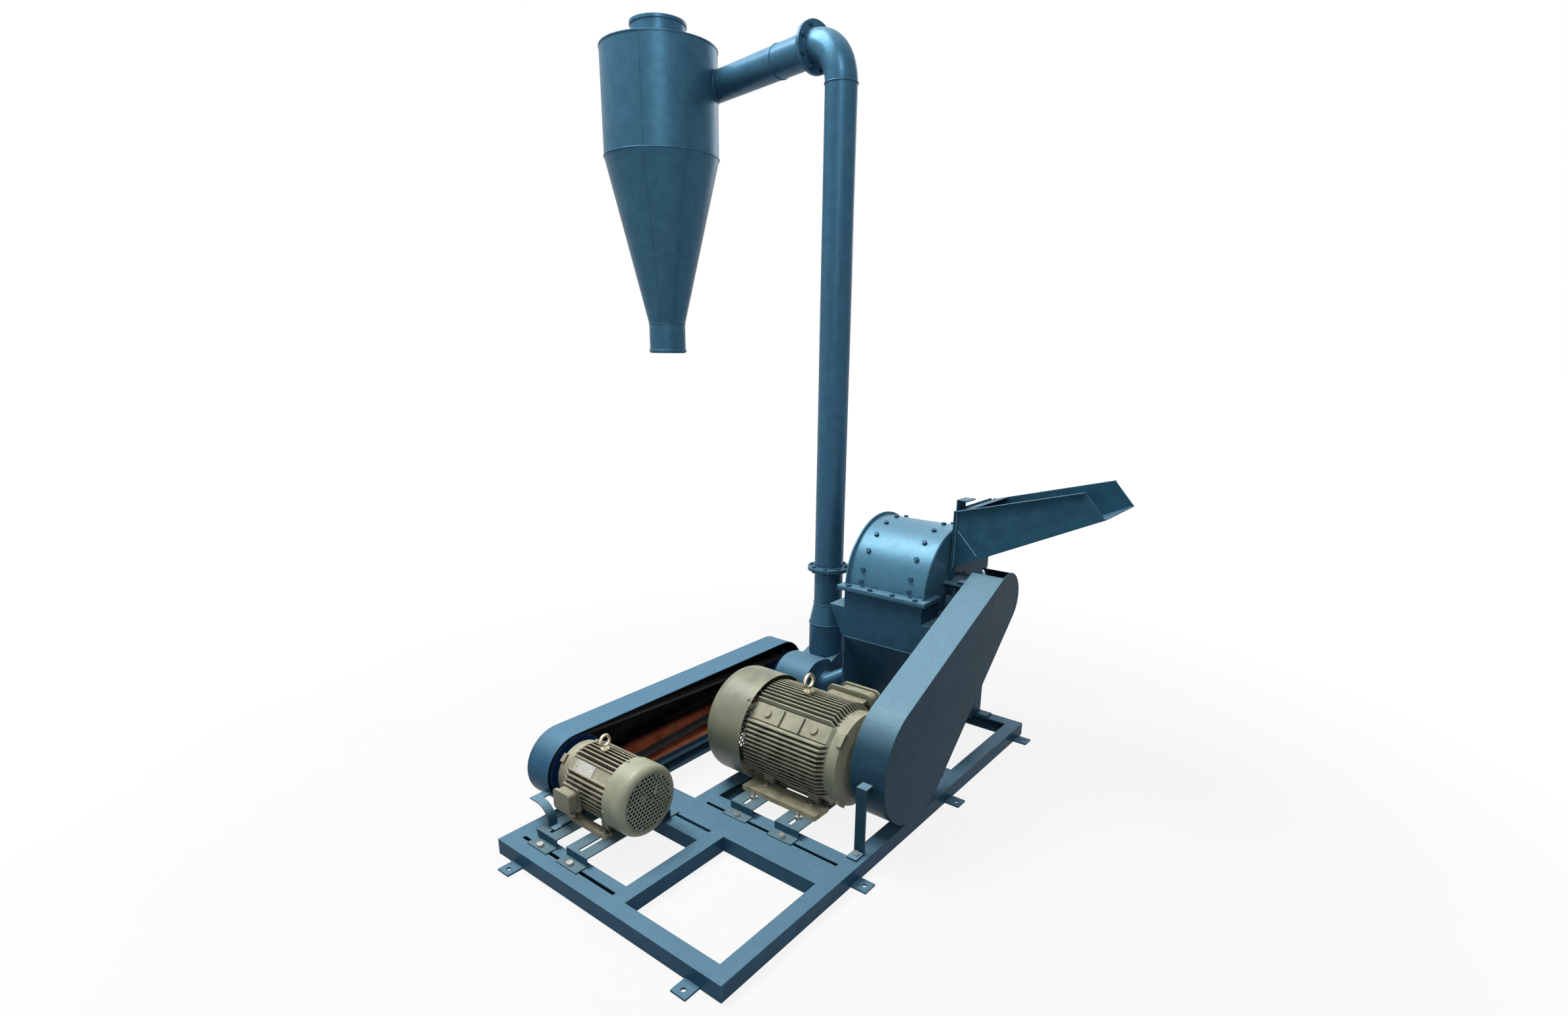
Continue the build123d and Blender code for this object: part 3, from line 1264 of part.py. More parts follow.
# ---- export ----
main_drive = ((main_motor_y, slide_height + main_motor.height), (rotor_y, rotor_z))
blower_drive = ((small_motor_y, slide_height + small_motor.height), (blower_y, blower_z))


def build():
    """Every node by name."""
    eyes = [place_main(lifting_eye(main_motor)), place_small(lifting_eye(small_motor))]
    motors = (("main_motor", main_motor, place_main), ("blower_motor", small_motor, place_small))
    nodes = {
        "base_rails": base_rails(),
        "inner_rails": inner_rails(),
        "small_motor_crossbars": small_motor_crossbars(),
        "main_motor_crossbars": main_motor_crossbars(),
        "floor_lugs": floor_lugs(),
        "blower_motor_slide_rails": slide_rails(0),
        "main_motor_slide_rails": slide_rails(1),
        "lifting_eyes": Compound(eyes),
        "motor_bolts": motor_bolts(),
        "mill_lower_body": mill_lower_body(),
        "mill_cover": mill_cover(),
        "mill_liner": mill_liner(),
        "mill_screen": mill_screen(),
        "rotor_shaft": rotor_shaft(),
        "rotor_discs": rotor_discs(),
        "hammer_pins": hammer_pins(),
        "mill_bearings": mill_bearings(),
        "cover_bolts": cover_bolts(),
        "flange_bolts": flange_bolts(),
        "feed_chute": feed_chute(),
        "slide_gate": slide_gate(),
        "blower_casing": blower_casing(),
        "blower_bearing": blower_bearing(),
        "blower_shaft": blower_shaft_part(),
        "impeller": impeller(),
        "suction_duct": suction_duct(),
        "discharge_neck": discharge_neck(),
        "riser_pipe": riser_pipe(),
        "elbow": elbow(),
        "cross_duct": cross_duct(),
        "cyclone_body": cyclone_body(),
        "cyclone_lid": cyclone_lid(),
        "main_guard": main_guard(),
        "blower_guard": blower_guard(),
        "guard_struts": guard_struts(),
        "main_motor_pulley": pulley(main_pitch, main_belts, main_pulley_x, *main_drive[0], main_motor.shaft),
        "mill_pulley": pulley(mill_pitch, main_belts, main_pulley_x, *main_drive[1], shaft_radius),
        "blower_motor_pulley": pulley(blower_motor_pitch, blower_belts, blower_pulley_x, *blower_drive[0],
                                      small_motor.shaft),
        "blower_pulley": pulley(blower_pitch, blower_belts, blower_pulley_x, *blower_drive[1], blower_shaft),
        "main_belts": belts(main_belts, main_pulley_x, main_drive[0], main_pitch, main_drive[1], mill_pitch),
        "blower_belts": belts(blower_belts, blower_pulley_x, blower_drive[0], blower_motor_pitch,
                              blower_drive[1], blower_pitch),
    }
    for row in range(pin_rows):
        nodes[f"hammers_{row + 1}"] = hammer_row(row)
    for name, m, place in motors:
        nodes[f"{name}_housing"] = place(motor_housing(m) + motor_shield(m, False))
        nodes[f"{name}_stator"] = place(motor_stator(m))
        nodes[f"{name}_drive_shield"] = place(motor_shield(m, True))
        nodes[f"{name}_rotor"] = place(motor_rotor(m))
        nodes[f"{name}_fan"] = place(motor_fan(m))
        nodes[f"{name}_cowl"] = place(motor_cowl(m))
        nodes[f"{name}_terminal_box"] = place(motor_terminal_box(m))
    return nodes


os.makedirs("parts", exist_ok=True)
to_floor = Pos(-base_width / 2, -base_length / 2, rail)
for node, shape in build().items():
    export_step(to_floor * shape, f"parts/{node}.step")
    print(node, round(shape.volume))
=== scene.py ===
"""Looks of a hammer mill set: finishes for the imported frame, and the fine pieces that dress it."""

import logging
from dataclasses import dataclass
from enum import Enum

import bmesh
import bpy
import numpy as np
from mathutils import Matrix, Vector
from mathutils.geometry import delaunay_2d_cdt
from numpy.typing import NDArray


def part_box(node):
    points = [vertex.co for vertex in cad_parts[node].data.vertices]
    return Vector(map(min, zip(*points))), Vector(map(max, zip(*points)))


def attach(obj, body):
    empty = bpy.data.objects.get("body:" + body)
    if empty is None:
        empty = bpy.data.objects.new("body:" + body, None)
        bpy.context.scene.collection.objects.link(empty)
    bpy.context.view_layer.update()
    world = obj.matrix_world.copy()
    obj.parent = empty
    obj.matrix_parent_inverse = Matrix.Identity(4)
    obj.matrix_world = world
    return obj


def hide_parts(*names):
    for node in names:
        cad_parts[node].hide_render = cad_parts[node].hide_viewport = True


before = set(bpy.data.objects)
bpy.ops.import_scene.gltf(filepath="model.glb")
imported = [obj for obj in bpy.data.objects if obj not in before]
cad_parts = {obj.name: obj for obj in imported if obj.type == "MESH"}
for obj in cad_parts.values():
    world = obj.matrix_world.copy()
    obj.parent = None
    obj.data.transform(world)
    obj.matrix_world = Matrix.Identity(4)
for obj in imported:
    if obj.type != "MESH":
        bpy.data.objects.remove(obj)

Array = NDArray[np.float64]
Socket = bpy.types.NodeSocket
Colour = tuple[float, float, float]

LOG = logging.getLogger("mill")
BENCH_TO_ROW = np.array([-457.0, -877.0, 50.0])
MACHINE = "machine"


def row(points: Array) -> Array:
    """Turns bench millimetres into row metres.

    Args:
        points: Array whose last axis is x, y, z, from the base's corner and the rails' top, in mm.

    Returns:
        The same points in metres, about the middle of the base on the floor.
    """
    return (np.asarray(points, float) + BENCH_TO_ROW) * 0.001


def unit(vectors: Array) -> Array:
    """Vectors divided by their lengths, along the last axis."""
    return vectors / np.maximum(np.linalg.norm(vectors, axis=-1, keepdims=True), 1e-12)


class Axis(Enum):
    """A bench axis, by its column."""

    X = 0
    Y = 1
    Z = 2

    def frame(self) -> tuple[Array, Array, Array]:
        """The axis and the two that complete a right-handed set, as unit vectors."""
        eye = np.eye(3)
        return eye[self.value], eye[(self.value + 1) % 3], eye[(self.value + 2) % 3]


# ---------------------------------------------------------------- surfaces


class Surface:
    """Gathers the points and faces of one piece, in bench millimetres, and makes its object."""

    def __init__(self, name: str, slot: str) -> None:
        """Starts an empty piece.

        Args:
            name: Name of the object.
            slot: Name of the record's material slot that the piece goes with; stored, but not used.
        """
        self.name = name
        self.slot = slot
        self.points: list[Array] = []
        self.quads: list[NDArray[np.int64]] = []
        self.fans: list[NDArray[np.int64]] = []
        self.count = 0

    def grid(self, points: Array, wrap_u: bool = False, wrap_v: bool = False) -> None:
        """Adds a sheet of quads: point (i, j) joins (i + 1, j) and (i, j + 1), and may wrap round.

        Args:
            points: Array of shape (n, m, 3).
            wrap_u: Whether the last row joins the first.
            wrap_v: Whether the last column joins the first.
        """
        n, m = points.shape[:2]
        index = self.count + np.arange(n * m).reshape(n, m)
        if wrap_u:
            index = np.vstack([index, index[:1]])
        if wrap_v:
            index = np.hstack([index, index[:, :1]])
        faces = np.stack([index[:-1, :-1], index[1:, :-1], index[1:, 1:], index[:-1, 1:]], -1)
        self.quads.append(faces.reshape(-1, 4))
        self.points.append(points.reshape(-1, 3))
        self.count += n * m

    def fan(self, ring: Array, centre: Array, flip: bool = False) -> None:
        """Closes a ring of points with triangles to one centre point.

        Args:
            ring: Points of shape (m, 3).
            centre: The point that they all join.
            flip: Whether the triangles run the other way round.
        """
        m = len(ring)
        index = self.count + np.arange(m)
        after = np.roll(index, -1)
        if flip:
            index, after = after, index
        self.fans.append(np.stack([index, after, np.full(m, self.count + m)], -1))
        self.points.append(np.vstack([ring, centre[None]]))
        self.count += m + 1

    def tube(self, path: Array, radius: Array | float, across: Array, sides: int = 8,
             closed: bool = False) -> None:
        """Adds a round tube: a circle carried along a path, held square to it.

        Args:
            path: Points along the middle, shape (n, 3).
            radius: One radius, or one for each point.
            across: A vector, or one for each point, never along the path, that fixes the section's turn.
            sides: Points round the section.
            closed: Whether the path is a loop.
        """
        n = len(path)
        step = np.roll(path, -1, 0) - np.roll(path, 1, 0)
        if not closed:
            step[0], step[-1] = path[1] - path[0], path[-1] - path[-2]
        along = unit(step)
        side = unit(np.cross(along, np.broadcast_to(across, path.shape)))
        other = np.cross(along, side)
        angle = np.arange(sides) * 2 * np.pi / sides
        size = np.broadcast_to(radius, (n,))[:, None, None]
        ring = np.cos(angle)[None, :, None] * side[:, None] - np.sin(angle)[None, :, None] * other[:, None]
        points = path[:, None] + size * ring
        self.grid(points, wrap_u=closed, wrap_v=True)
        if not closed:
            self.fan(points[0], path[0], flip=False)
            self.fan(points[-1], path[-1], flip=True)

    def sheet(self, points: Array, triangles: NDArray[np.int64]) -> None:
        """Adds loose triangles over their own points.

        Args:
            points: Array of shape (n, 3).
            triangles: Rows of three indices into the points.
        """
        self.fans.append(triangles + self.count)
        self.points.append(points)
        self.count += len(points)

    def brick(self, centre: Array, first: Array, second: Array, third: Array) -> None:
        """Adds a closed box: its eight corners are the centre plus or minus three half-length vectors.

        Args:
            centre: Middle of the box.
            first: Half of one edge, as a vector.
            second: Half of the next edge.
            third: Half of the last edge.
        """
        sign = np.array([[a, b, c] for a in (-1, 1) for b in (-1, 1) for c in (-1, 1)], float)
        sides = [[0, 1, 3, 2], [4, 6, 7, 5], [0, 4, 5, 1], [2, 3, 7, 6], [0, 2, 6, 4], [1, 5, 7, 3]]
        self.quads.append(self.count + np.array(sides))
        self.points.append(np.asarray(centre, float) + sign @ np.array([first, second, third], float))
        self.count += 8

    def slab(self, outline: Array, push: Array) -> None:
        """Adds a closed plate: an outline and its copy pushed aside, joined round the edge.

        Args:
            outline: Points of shape (n, 3), each in sight of their mean.
            push: Vector from one face to the other.
        """
        far = outline + push
        self.grid(np.stack([outline, far]), wrap_v=True)
        self.fan(outline, outline.mean(0))
        self.fan(far, far.mean(0), flip=True)

    def bar(self, path: Array, wide: Array, thick: Array) -> None:
        """Adds a closed flat bar: a parallelogram section carried along a path.

        Args:
            path: Points of one long corner, shape (n, 3).
            wide: First edge of the section, as a vector.
            thick: Second edge of the section, as a vector.
        """
        corners = np.array([np.zeros(3), wide, np.add(wide, thick), thick], float)
        points = path[:, None] + corners[None]
        self.grid(points, wrap_v=True)
        self.fan(points[0], points[0].mean(0))
        self.fan(points[-1], points[-1].mean(0), flip=True)

    def knob(self, base: Array, along: Array, profile: Array, steps: int = 16) -> None:
        """Adds a closed round knob: a profile turned about a direction, shut at both ends.

        Args:
            base: Where the knob's axis starts.
            along: Direction of the axis.
            profile: Points (height, radius), from the base up.
            steps: Points round the circle.
        """
        axis = unit(np.asarray(along, float))
        spare = np.array([0.0, 0.0, 1.0]) if abs(axis[2]) < 0.9 else np.array([0.0, 1.0, 0.0])
        first = unit(np.cross(axis, spare))
        second = np.cross(axis, first)
        angle = np.arange(steps) * 2 * np.pi / steps
        ring = np.cos(angle)[:, None] * first + np.sin(angle)[:, None] * second
        points = base + profile[:, 0][:, None, None] * axis + profile[:, 1][:, None, None] * ring[None]
        self.grid(points, wrap_v=True)
        self.fan(points[0], base + profile[0, 0] * axis)
        self.fan(points[-1], base + profile[-1, 0] * axis, flip=True)

    def build(self, material: bpy.types.Material, smooth: bool = True) -> bpy.types.Object:
        """Makes the mesh object, closed at its doubles and facing outwards, riding on the machine.

        Args:
            material: Finish of the piece.
            smooth: Whether its faces are shaded smooth.

        Returns:
            The new object.
        """
        mesh = bpy.data.meshes.new(self.name)
        faces = [face for block in self.quads + self.fans for face in block.tolist()]
        mesh.from_pydata(row(np.vstack(self.points)).tolist(), [], faces)
        mesh.update()
        mesh.polygons.foreach_set("use_smooth", np.full(len(mesh.polygons), smooth))
        thing = bpy.data.objects.new(self.name, mesh)
        bpy.context.scene.collection.objects.link(thing)
        close_and_orient(thing)
        mesh.materials.append(material)
        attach(thing, MACHINE)
        LOG.info("piece %s: %d faces", self.name, len(mesh.polygons))
        return thing


def soften(thing: bpy.types.Object, width: float) -> None:
    """Rounds a piece's edges with a bevel of two segments, its width in metres."""
    bevel = thing.modifiers.new("soft edges", "BEVEL")
    bevel.width = width
    bevel.segments = 2


def close_and_orient(thing: bpy.types.Object) -> None:
    """Merges points that coincide and turns every face outwards.

    Args:
        thing: Object whose mesh is closed but for its doubles.
    """
    work = bmesh.new()
    work.from_mesh(thing.data)
    bmesh.ops.remove_doubles(work, verts=work.verts, dist=1e-6)
    bmesh.ops.recalc_face_normals(work, faces=work.faces)
    work.to_mesh(thing.data)
    work.free()


def circle(centre: Array, radius: float, axis: Axis, count: int, start: float = 0.0,
           end: float = 360.0) -> Array:
    """Points round a circle, or along an arc of it.

    Args:
        centre: Middle of the circle.
        radius: Its radius.
        axis: The bench axis that it is square to.
        count: How many points.
        start: First angle, in degrees.
        end: Last angle, in degrees.

    Returns:
        Array of shape (count, 3).
    """
    _, first, second = axis.frame()
    whole = abs(end - start) >= 360.0
    angle = np.radians(np.linspace(start, end, count, endpoint=not whole))
    return centre + radius * (np.cos(angle)[:, None] * first + np.sin(angle)[:, None] * second)


def ripple(length: float, count: int, radius: float, pitch: float = 4.5) -> Array:
    """Radii of a weld bead: a base size with half waves, one for each drop of metal, and a slow sway.

    Args:
        length: Length of the bead.
        count: How many points it has.
        radius: Its base size.
        pitch: Length of one drop.

    Returns:
        One radius for each point.
    """
    steady, drop, sway = 0.78, 0.22, 0.08
    place = np.linspace(0.0, length, count)
    wave = np.abs(np.sin(np.pi * place / pitch))
    slow = np.sin(place / 23.0) + 0.6 * np.sin(place / 9.1 + 1.0)
    return radius * (steady + drop * wave + sway * slow)


def straight(start: tuple[float, float, float], end: tuple[float, float, float], step: float = 1.6) -> Array:
    """Evenly spaced points between two ends.

    Args:
        start: First point.
        end: Last point.
        step: Greatest distance from a point to the next, near enough.

    Returns:
        Array of shape (n, 3).
    """
    a, b = np.array(start, float), np.array(end, float)
    count = max(3, int(np.linalg.norm(b - a) / step))
    return a + np.linspace(0.0, 1.0, count)[:, None] * (b - a)


def loop(
    low: tuple[float, float], low_radius: float, high: tuple[float, float], high_radius: float, count: int
) -> Array:
    """Points (y, z) along the outline round two circles: two tangents and the two outer arcs.

    Args:
        low: Centre of the first circle.
        low_radius: Its radius.
        high: Centre of the second circle.
        high_radius: Its radius.
        count: How many points to return, evenly spaced along the outline.

    Returns:
        Array of shape (count, 2).
    """
    a, b = np.array(low), np.array(high)
    span = float(np.linalg.norm(b - a))
    lean = float(np.arctan2(*(b - a)[::-1]))
    tilt = float(np.arccos((low_radius - high_radius) / span))
    arc_points = 120
    turn_high = np.linspace(lean + tilt, lean - tilt, arc_points)
    turn_low = np.linspace(lean - tilt, lean + tilt - 2 * np.pi, arc_points)
    arcs = [
        b + high_radius * np.stack([np.cos(turn_high), np.sin(turn_high)], 1),
        a + low_radius * np.stack([np.cos(turn_low), np.sin(turn_low)], 1),
    ]
    points = np.vstack(arcs + [arcs[0][:1]])
    gaps = np.linalg.norm(np.diff(points, axis=0), axis=1)
    place = np.concatenate([[0.0], np.cumsum(gaps)])
    want = np.linspace(0.0, place[-1], count, endpoint=False)
    return np.stack([np.interp(want, place, points[:, 0]), np.interp(want, place, points[:, 1])], 1)


# ---------------------------------------------------------------- finishes


class Shade:
    """Writes the node tree of one material."""

    def __init__(self, name: str) -> None:
        """Starts a tree with a principled shader on the output.

        Args:
            name: Name of the material.
        """
        self.material = bpy.data.materials.new(name)
        self.material.use_nodes = True
        self.tree = self.material.node_tree
        self.tree.nodes.clear()
        self.bsdf = self.node("ShaderNodeBsdfPrincipled")
        output = self.node("ShaderNodeOutputMaterial")
        self.tree.links.new(self.bsdf.outputs[0], output.inputs[0])
        self.place = self.node("ShaderNodeTexCoord").outputs["Object"]
        self.normal = self.node("ShaderNodeNewGeometry").outputs["Normal"]

    def node(self, kind: str) -> bpy.types.Node:
        """A new node of that kind."""
        return self.tree.nodes.new(kind)

    def feed(self, socket: Socket, value: Socket | float | tuple[float, ...]) -> None:
        """Links a socket to another, or gives it a constant.

        Args:
            socket: The input to fill.
            value: An output to link, or a number or colour.
        """
        if isinstance(value, bpy.types.NodeSocket):
            self.tree.links.new(value, socket)
        elif isinstance(value, tuple) and len(value) == 3 and socket.type == "RGBA":
            socket.default_value = (*value, 1.0)
        else:
            socket.default_value = value

    def noise(
        self, scale: float, detail: float = 3.0, stretch: Colour = (1.0, 1.0, 1.0), seed: float = 0.0
    ) -> Socket:
        """Noise on Object coordinates.

        Args:
            scale: Patches for each metre.
            detail: Octaves.
            stretch: Scale along each axis, such as more across than along a streak.
            seed: Shift of the pattern, in metres.

        Returns:
            The value socket.
        """
        mapping = self.node("ShaderNodeMapping")
        mapping.inputs["Scale"].default_value = stretch
        mapping.inputs["Location"].default_value = (seed, 2.3 * seed, 0.7 * seed)
        self.tree.links.new(self.place, mapping.inputs["Vector"])
        cloud = self.node("ShaderNodeTexNoise")
        self.tree.links.new(mapping.outputs[0], cloud.inputs["Vector"])
        cloud.inputs["Scale"].default_value = scale
        cloud.inputs["Detail"].default_value = detail
        return cloud.outputs[0]

    def ramp(self, value: Socket, low: float, high: float, top: float = 1.0) -> Socket:
        """A value eased from 0 to a top.

        Args:
            value: What is eased.
            low: Where it gives 0.
            high: Where it gives the top, above or below low.
            top: The greatest result.

        Returns:
            The eased value.
        """
        step = self.node("ShaderNodeMapRange")
        step.interpolation_type = "SMOOTHSTEP"
        self.feed(step.inputs["Value"], value)
        step.inputs["From Min"].default_value = low
        step.inputs["From Max"].default_value = high
        step.inputs["To Max"].default_value = top
        return step.outputs[0]

    def calc(self, how: str, first: Socket | float, second: Socket | float = 0.0) -> Socket:
        """One step of arithmetic.

        Args:
            how: Blender's name of the operation.
            first: First number.
            second: Second number.

        Returns:
            The result's socket.
        """
        step = self.node("ShaderNodeMath")
        step.operation = how
        self.feed(step.inputs[0], first)
        self.feed(step.inputs[1], second)
        return step.outputs[0]

    def mix(self, share: Socket | float, first: Socket | Colour, second: Socket | Colour) -> Socket:
        """Two colours mixed.

        Args:
            share: How much of the second colour.
            first: The colour at 0.
            second: The colour at 1.

        Returns:
            The mixed colour's socket.
        """
        step = self.node("ShaderNodeMix")
        step.data_type = "RGBA"
        self.feed(step.inputs[0], share)
        self.feed(step.inputs[6], first)
        self.feed(step.inputs[7], second)
        return step.outputs[2]

    def part(self, vector: Socket, axis: Axis) -> Socket:
        """One component of a vector.

        Args:
            vector: Where it is taken from.
            axis: Which component.

        Returns:
            The component's socket.
        """
        step = self.node("ShaderNodeSeparateXYZ")
        self.tree.links.new(vector, step.inputs[0])
        return step.outputs[axis.value]

    def rounded(self, radius: float) -> Socket:
        """Normal as if the edges were rounded.

        Args:
            radius: How far the rounding reaches, in metres.

        Returns:
            The normal's socket.
        """
        step = self.node("ShaderNodeBevel")
        step.samples = 4
        step.inputs["Radius"].default_value = radius
        return step.outputs[0]

    def edges(self, soft: Socket, low: float = 0.02, high: float = 0.25) -> Socket:
        """Mask of the edges, from how far the rounded normal leans from the true one.

        Args:
            soft: The rounded normal.
            low: Lean at which the mask starts.
            high: Lean at which it is full.

        Returns:
            The mask's socket.
        """
        step = self.node("ShaderNodeVectorMath")
        step.operation = "DOT_PRODUCT"
        self.tree.links.new(soft, step.inputs[0])
        self.tree.links.new(self.normal, step.inputs[1])
        return self.ramp(self.calc("SUBTRACT", 1.0, step.outputs["Value"]), low, high)

    def bump(self, height: Socket, depth: float, base: Socket | None = None) -> Socket:
        """Normal raised by a height map.

        Args:
            height: The map, from 0 to 1.
            depth: What a height of 1 stands for, in metres.
            base: Normal that it is laid over, if not the surface's own.

        Returns:
            The normal's socket.
        """
        step = self.node("ShaderNodeBump")
        step.inputs["Strength"].default_value = 1.0
        step.inputs["Distance"].default_value = depth
        self.feed(step.inputs["Height"], height)
        if base is not None:
            self.feed(step.inputs["Normal"], base)
        return step.outputs[0]


class Inside(Enum):
    """Which faces of a guard count as its unpainted inside."""

    NONE = "none"
    BLOWER_GUARD = "blower guard"


@dataclass(frozen=True)
class Enamel:
    """Sprayed hammer-finish enamel with metal flake, on folded plate, with dust and a painted sky sheen on
    top, runs and chips.
    """

    name: str
    base: Colour = (0.036, 0.106, 0.178)
    deep: Colour = (0.027, 0.082, 0.140)
    # Pale blue of dust, and of a painted sky sheen, on upward faces.
    dust_and_sheen_colour: Colour = (0.21, 0.36, 0.46)
    worn: Colour = (0.24, 0.40, 0.50)
    gloss: float = 0.38
    flake: float = 0.14
    coat: float = 0.03
    dust_and_sheen: float = 0.40
    inside: Inside = Inside.NONE
    seed: float = 0.0
    edge: float = 0.0022
    chipped: float = 0.65
    specular: float = 0.02
    coat_rough: float = 0.20
    peel: float = 0.00045

    def material(self) -> bpy.types.Material:
        """Colour clouds and runs, dust and a painted sky sheen where faces look up, paler edges, and orange
        peel as bump.

        Returns:
            The finished material.
        """
        s = Shade(self.name)
        clouds = s.noise(scale=22.0, detail=7.0, seed=self.seed)
        streaks = s.noise(scale=5.0, detail=4.0, stretch=(7.0, 7.0, 0.6), seed=self.seed + 1.0)
        runs = s.ramp(streaks, low=0.55, high=0.80, top=0.45)
        colour = s.mix(s.ramp(clouds, low=0.15, high=0.85), self.deep, self.base)
        colour = s.mix(runs, colour, self.deep)
        # Upward faces are paled partly by dust and partly by a painted sheen that stands in for the sky's
        # reflection.
        up = s.ramp(s.part(s.normal, Axis.Z), low=0.35, high=0.98)
        film = s.ramp(s.noise(scale=120.0, detail=6.0, seed=self.seed + 2.0), low=-0.70, high=0.75)
        dust_and_sheen = s.calc("MULTIPLY", s.calc("MULTIPLY", up, film), self.dust_and_sheen)
        colour = s.mix(dust_and_sheen, colour, self.dust_and_sheen_colour)
        soft = s.rounded(self.edge)
        flakes = s.ramp(s.noise(scale=60.0, detail=3.0, seed=self.seed), low=0.30, high=0.62)
        chips = s.calc("MULTIPLY", s.edges(soft), flakes)
        colour = s.mix(s.calc("MULTIPLY", chips, self.chipped), colour, self.worn)
        if self.inside is Inside.BLOWER_GUARD:
            colour = self.lined(s, colour)
        s.feed(s.bsdf.inputs["Base Color"], colour)
        spread, dulling = 0.16, 0.45
        grain = s.noise(scale=34.0, detail=3.0, seed=self.seed + 4.0)
        rough = s.calc("ADD", s.calc("MULTIPLY", grain, spread), self.gloss - spread / 2)
        s.feed(s.bsdf.inputs["Roughness"], s.calc("ADD", rough, s.calc("MULTIPLY", dust_and_sheen, dulling)))
        s.bsdf.inputs["Metallic"].default_value = self.flake
        s.bsdf.inputs["Specular IOR Level"].default_value = self.specular
        s.bsdf.inputs["Coat Weight"].default_value = self.coat
        s.bsdf.inputs["Coat Roughness"].default_value = self.coat_rough
        peel, dents, dent_share = s.noise(260.0, 2.0), s.noise(9.0, 2.0, seed=self.seed), 2.2
        height = s.calc("ADD", peel, s.calc("MULTIPLY", dents, dent_share))
        s.feed(s.bsdf.inputs["Normal"], s.bump(height, self.peel, soft))
        return s.material

    def lined(self, s: Shade, colour: Socket) -> Socket:
        """The guard's inside: black painted shade on the back and roof, and red oxide primer low down.

        Args:
            s: The material that is being written.
            colour: The paint outside.

        Returns:
            The colour of both sides.
        """
        back_plane, primer = (-0.420, -0.425), (0.132, 0.100)
        floor_top, roof_bottom = (0.150, 0.130), (0.220, 0.240)
        z = s.part(s.place, Axis.Z)
        x = s.part(s.place, Axis.X)
        back = s.calc("MULTIPLY", s.ramp(s.part(s.normal, Axis.X), 0.4, 0.6), s.ramp(x, *back_plane))
        under = s.calc("MULTIPLY", s.ramp(s.part(s.normal, Axis.Z), 0.05, 0.3), s.ramp(z, *floor_top))
        roof = s.calc("MULTIPLY", s.ramp(s.part(s.normal, Axis.Z), -0.05, -0.3), s.ramp(z, *roof_bottom))
        blotch = s.noise(scale=14.0, detail=5.0)
        oxide = s.mix(s.ramp(blotch, 0.3, 0.7), (0.40, 0.110, 0.052), (0.60, 0.200, 0.105))
        # Near-black painted shade on the inside of the back plate and under the roof.
        painted_shade = s.mix(s.ramp(blotch, 0.35, 0.8), (0.003, 0.003, 0.004), (0.016, 0.009, 0.008))
        back_colour = s.mix(s.ramp(z, *primer), painted_shade, oxide)
        colour = s.mix(back, colour, back_colour)
        colour = s.mix(under, colour, oxide)
        return s.mix(roof, colour, painted_shade)


@dataclass(frozen=True)
class CastPaint:
    """Dull paint over a rough casting or pressing, with painted shade in the corners and dust on top."""

    name: str
    base: Colour = (0.235, 0.240, 0.170)
    painted_shade: Colour = (0.012, 0.011, 0.008)
    dust_and_sheen_colour: Colour = (0.42, 0.41, 0.31)
    rough: float = 0.55
    dust_and_sheen: float = 0.5
    pits: float = 0.0005
    sand: Colour = (0.40, 0.34, 0.21)
    sand_top: float = 0.0
    seed: float = 0.0
    hollow: float = 0.03
    edge: float = 0.0015
    wear: float = 0.5

    def material(self) -> bpy.types.Material:
        """Clouded paint, painted shade where the surface is hidden, dust where it looks up, sandy feet and
        bump.

        Returns:
            The finished material.
        """
        s = Shade(self.name)
        clouds = s.noise(scale=9.0, detail=5.0, seed=self.seed)
        darker = tuple(0.72 * channel for channel in self.base)
        colour = s.mix(s.ramp(clouds, low=0.3, high=0.75), darker, self.base)
        # Ambient occlusion darkens hollows and corners nearly to black: painted shade.
        hidden = s.node("ShaderNodeAmbientOcclusion")
        hidden.samples = 4
        hidden.inputs["Distance"].default_value = self.hollow
        hollow_shade = s.ramp(hidden.outputs["AO"], low=0.80, high=0.38, top=0.95)
        colour = s.mix(hollow_shade, colour, self.painted_shade)
        up = s.ramp(s.part(s.normal, Axis.Z), low=0.25, high=0.95)
        film = s.ramp(s.noise(scale=26.0, detail=5.0, seed=self.seed + 1.0), low=0.28, high=0.7)
        dust_and_sheen = s.calc("MULTIPLY", s.calc("MULTIPLY", up, film), self.dust_and_sheen)
        colour = s.mix(dust_and_sheen, colour, self.dust_and_sheen_colour)
        if self.sand_top > 0.0:
            fade = 0.004
            foot = s.ramp(s.part(s.place, Axis.Z), low=self.sand_top, high=self.sand_top - fade)
            caked = s.ramp(s.noise(scale=30.0, detail=5.0, seed=self.seed + 3.0), low=0.25, high=0.60)
            colour = s.mix(s.calc("MULTIPLY", foot, caked), colour, self.sand)
        soft = s.rounded(self.edge)
        rubbed = s.ramp(s.noise(scale=70.0, detail=3.0), low=0.35, high=0.6)
        worn = s.calc("MULTIPLY", s.edges(soft, low=0.03, high=0.3), rubbed)
        colour = s.mix(s.calc("MULTIPLY", worn, self.wear), colour, self.dust_and_sheen_colour)
        s.feed(s.bsdf.inputs["Base Color"], colour)
        spread, dulling = 0.2, 0.3
        rough = s.calc("ADD", s.calc("MULTIPLY", clouds, spread), self.rough - spread / 2)
        s.feed(s.bsdf.inputs["Roughness"], s.calc("ADD", rough, s.calc("MULTIPLY", dust_and_sheen, dulling)))
        sand = s.calc("ADD", s.noise(420.0, 3.0), s.noise(110.0, 3.0, seed=2.0))
        s.feed(s.bsdf.inputs["Normal"], s.bump(sand, self.pits, soft))
        return s.material


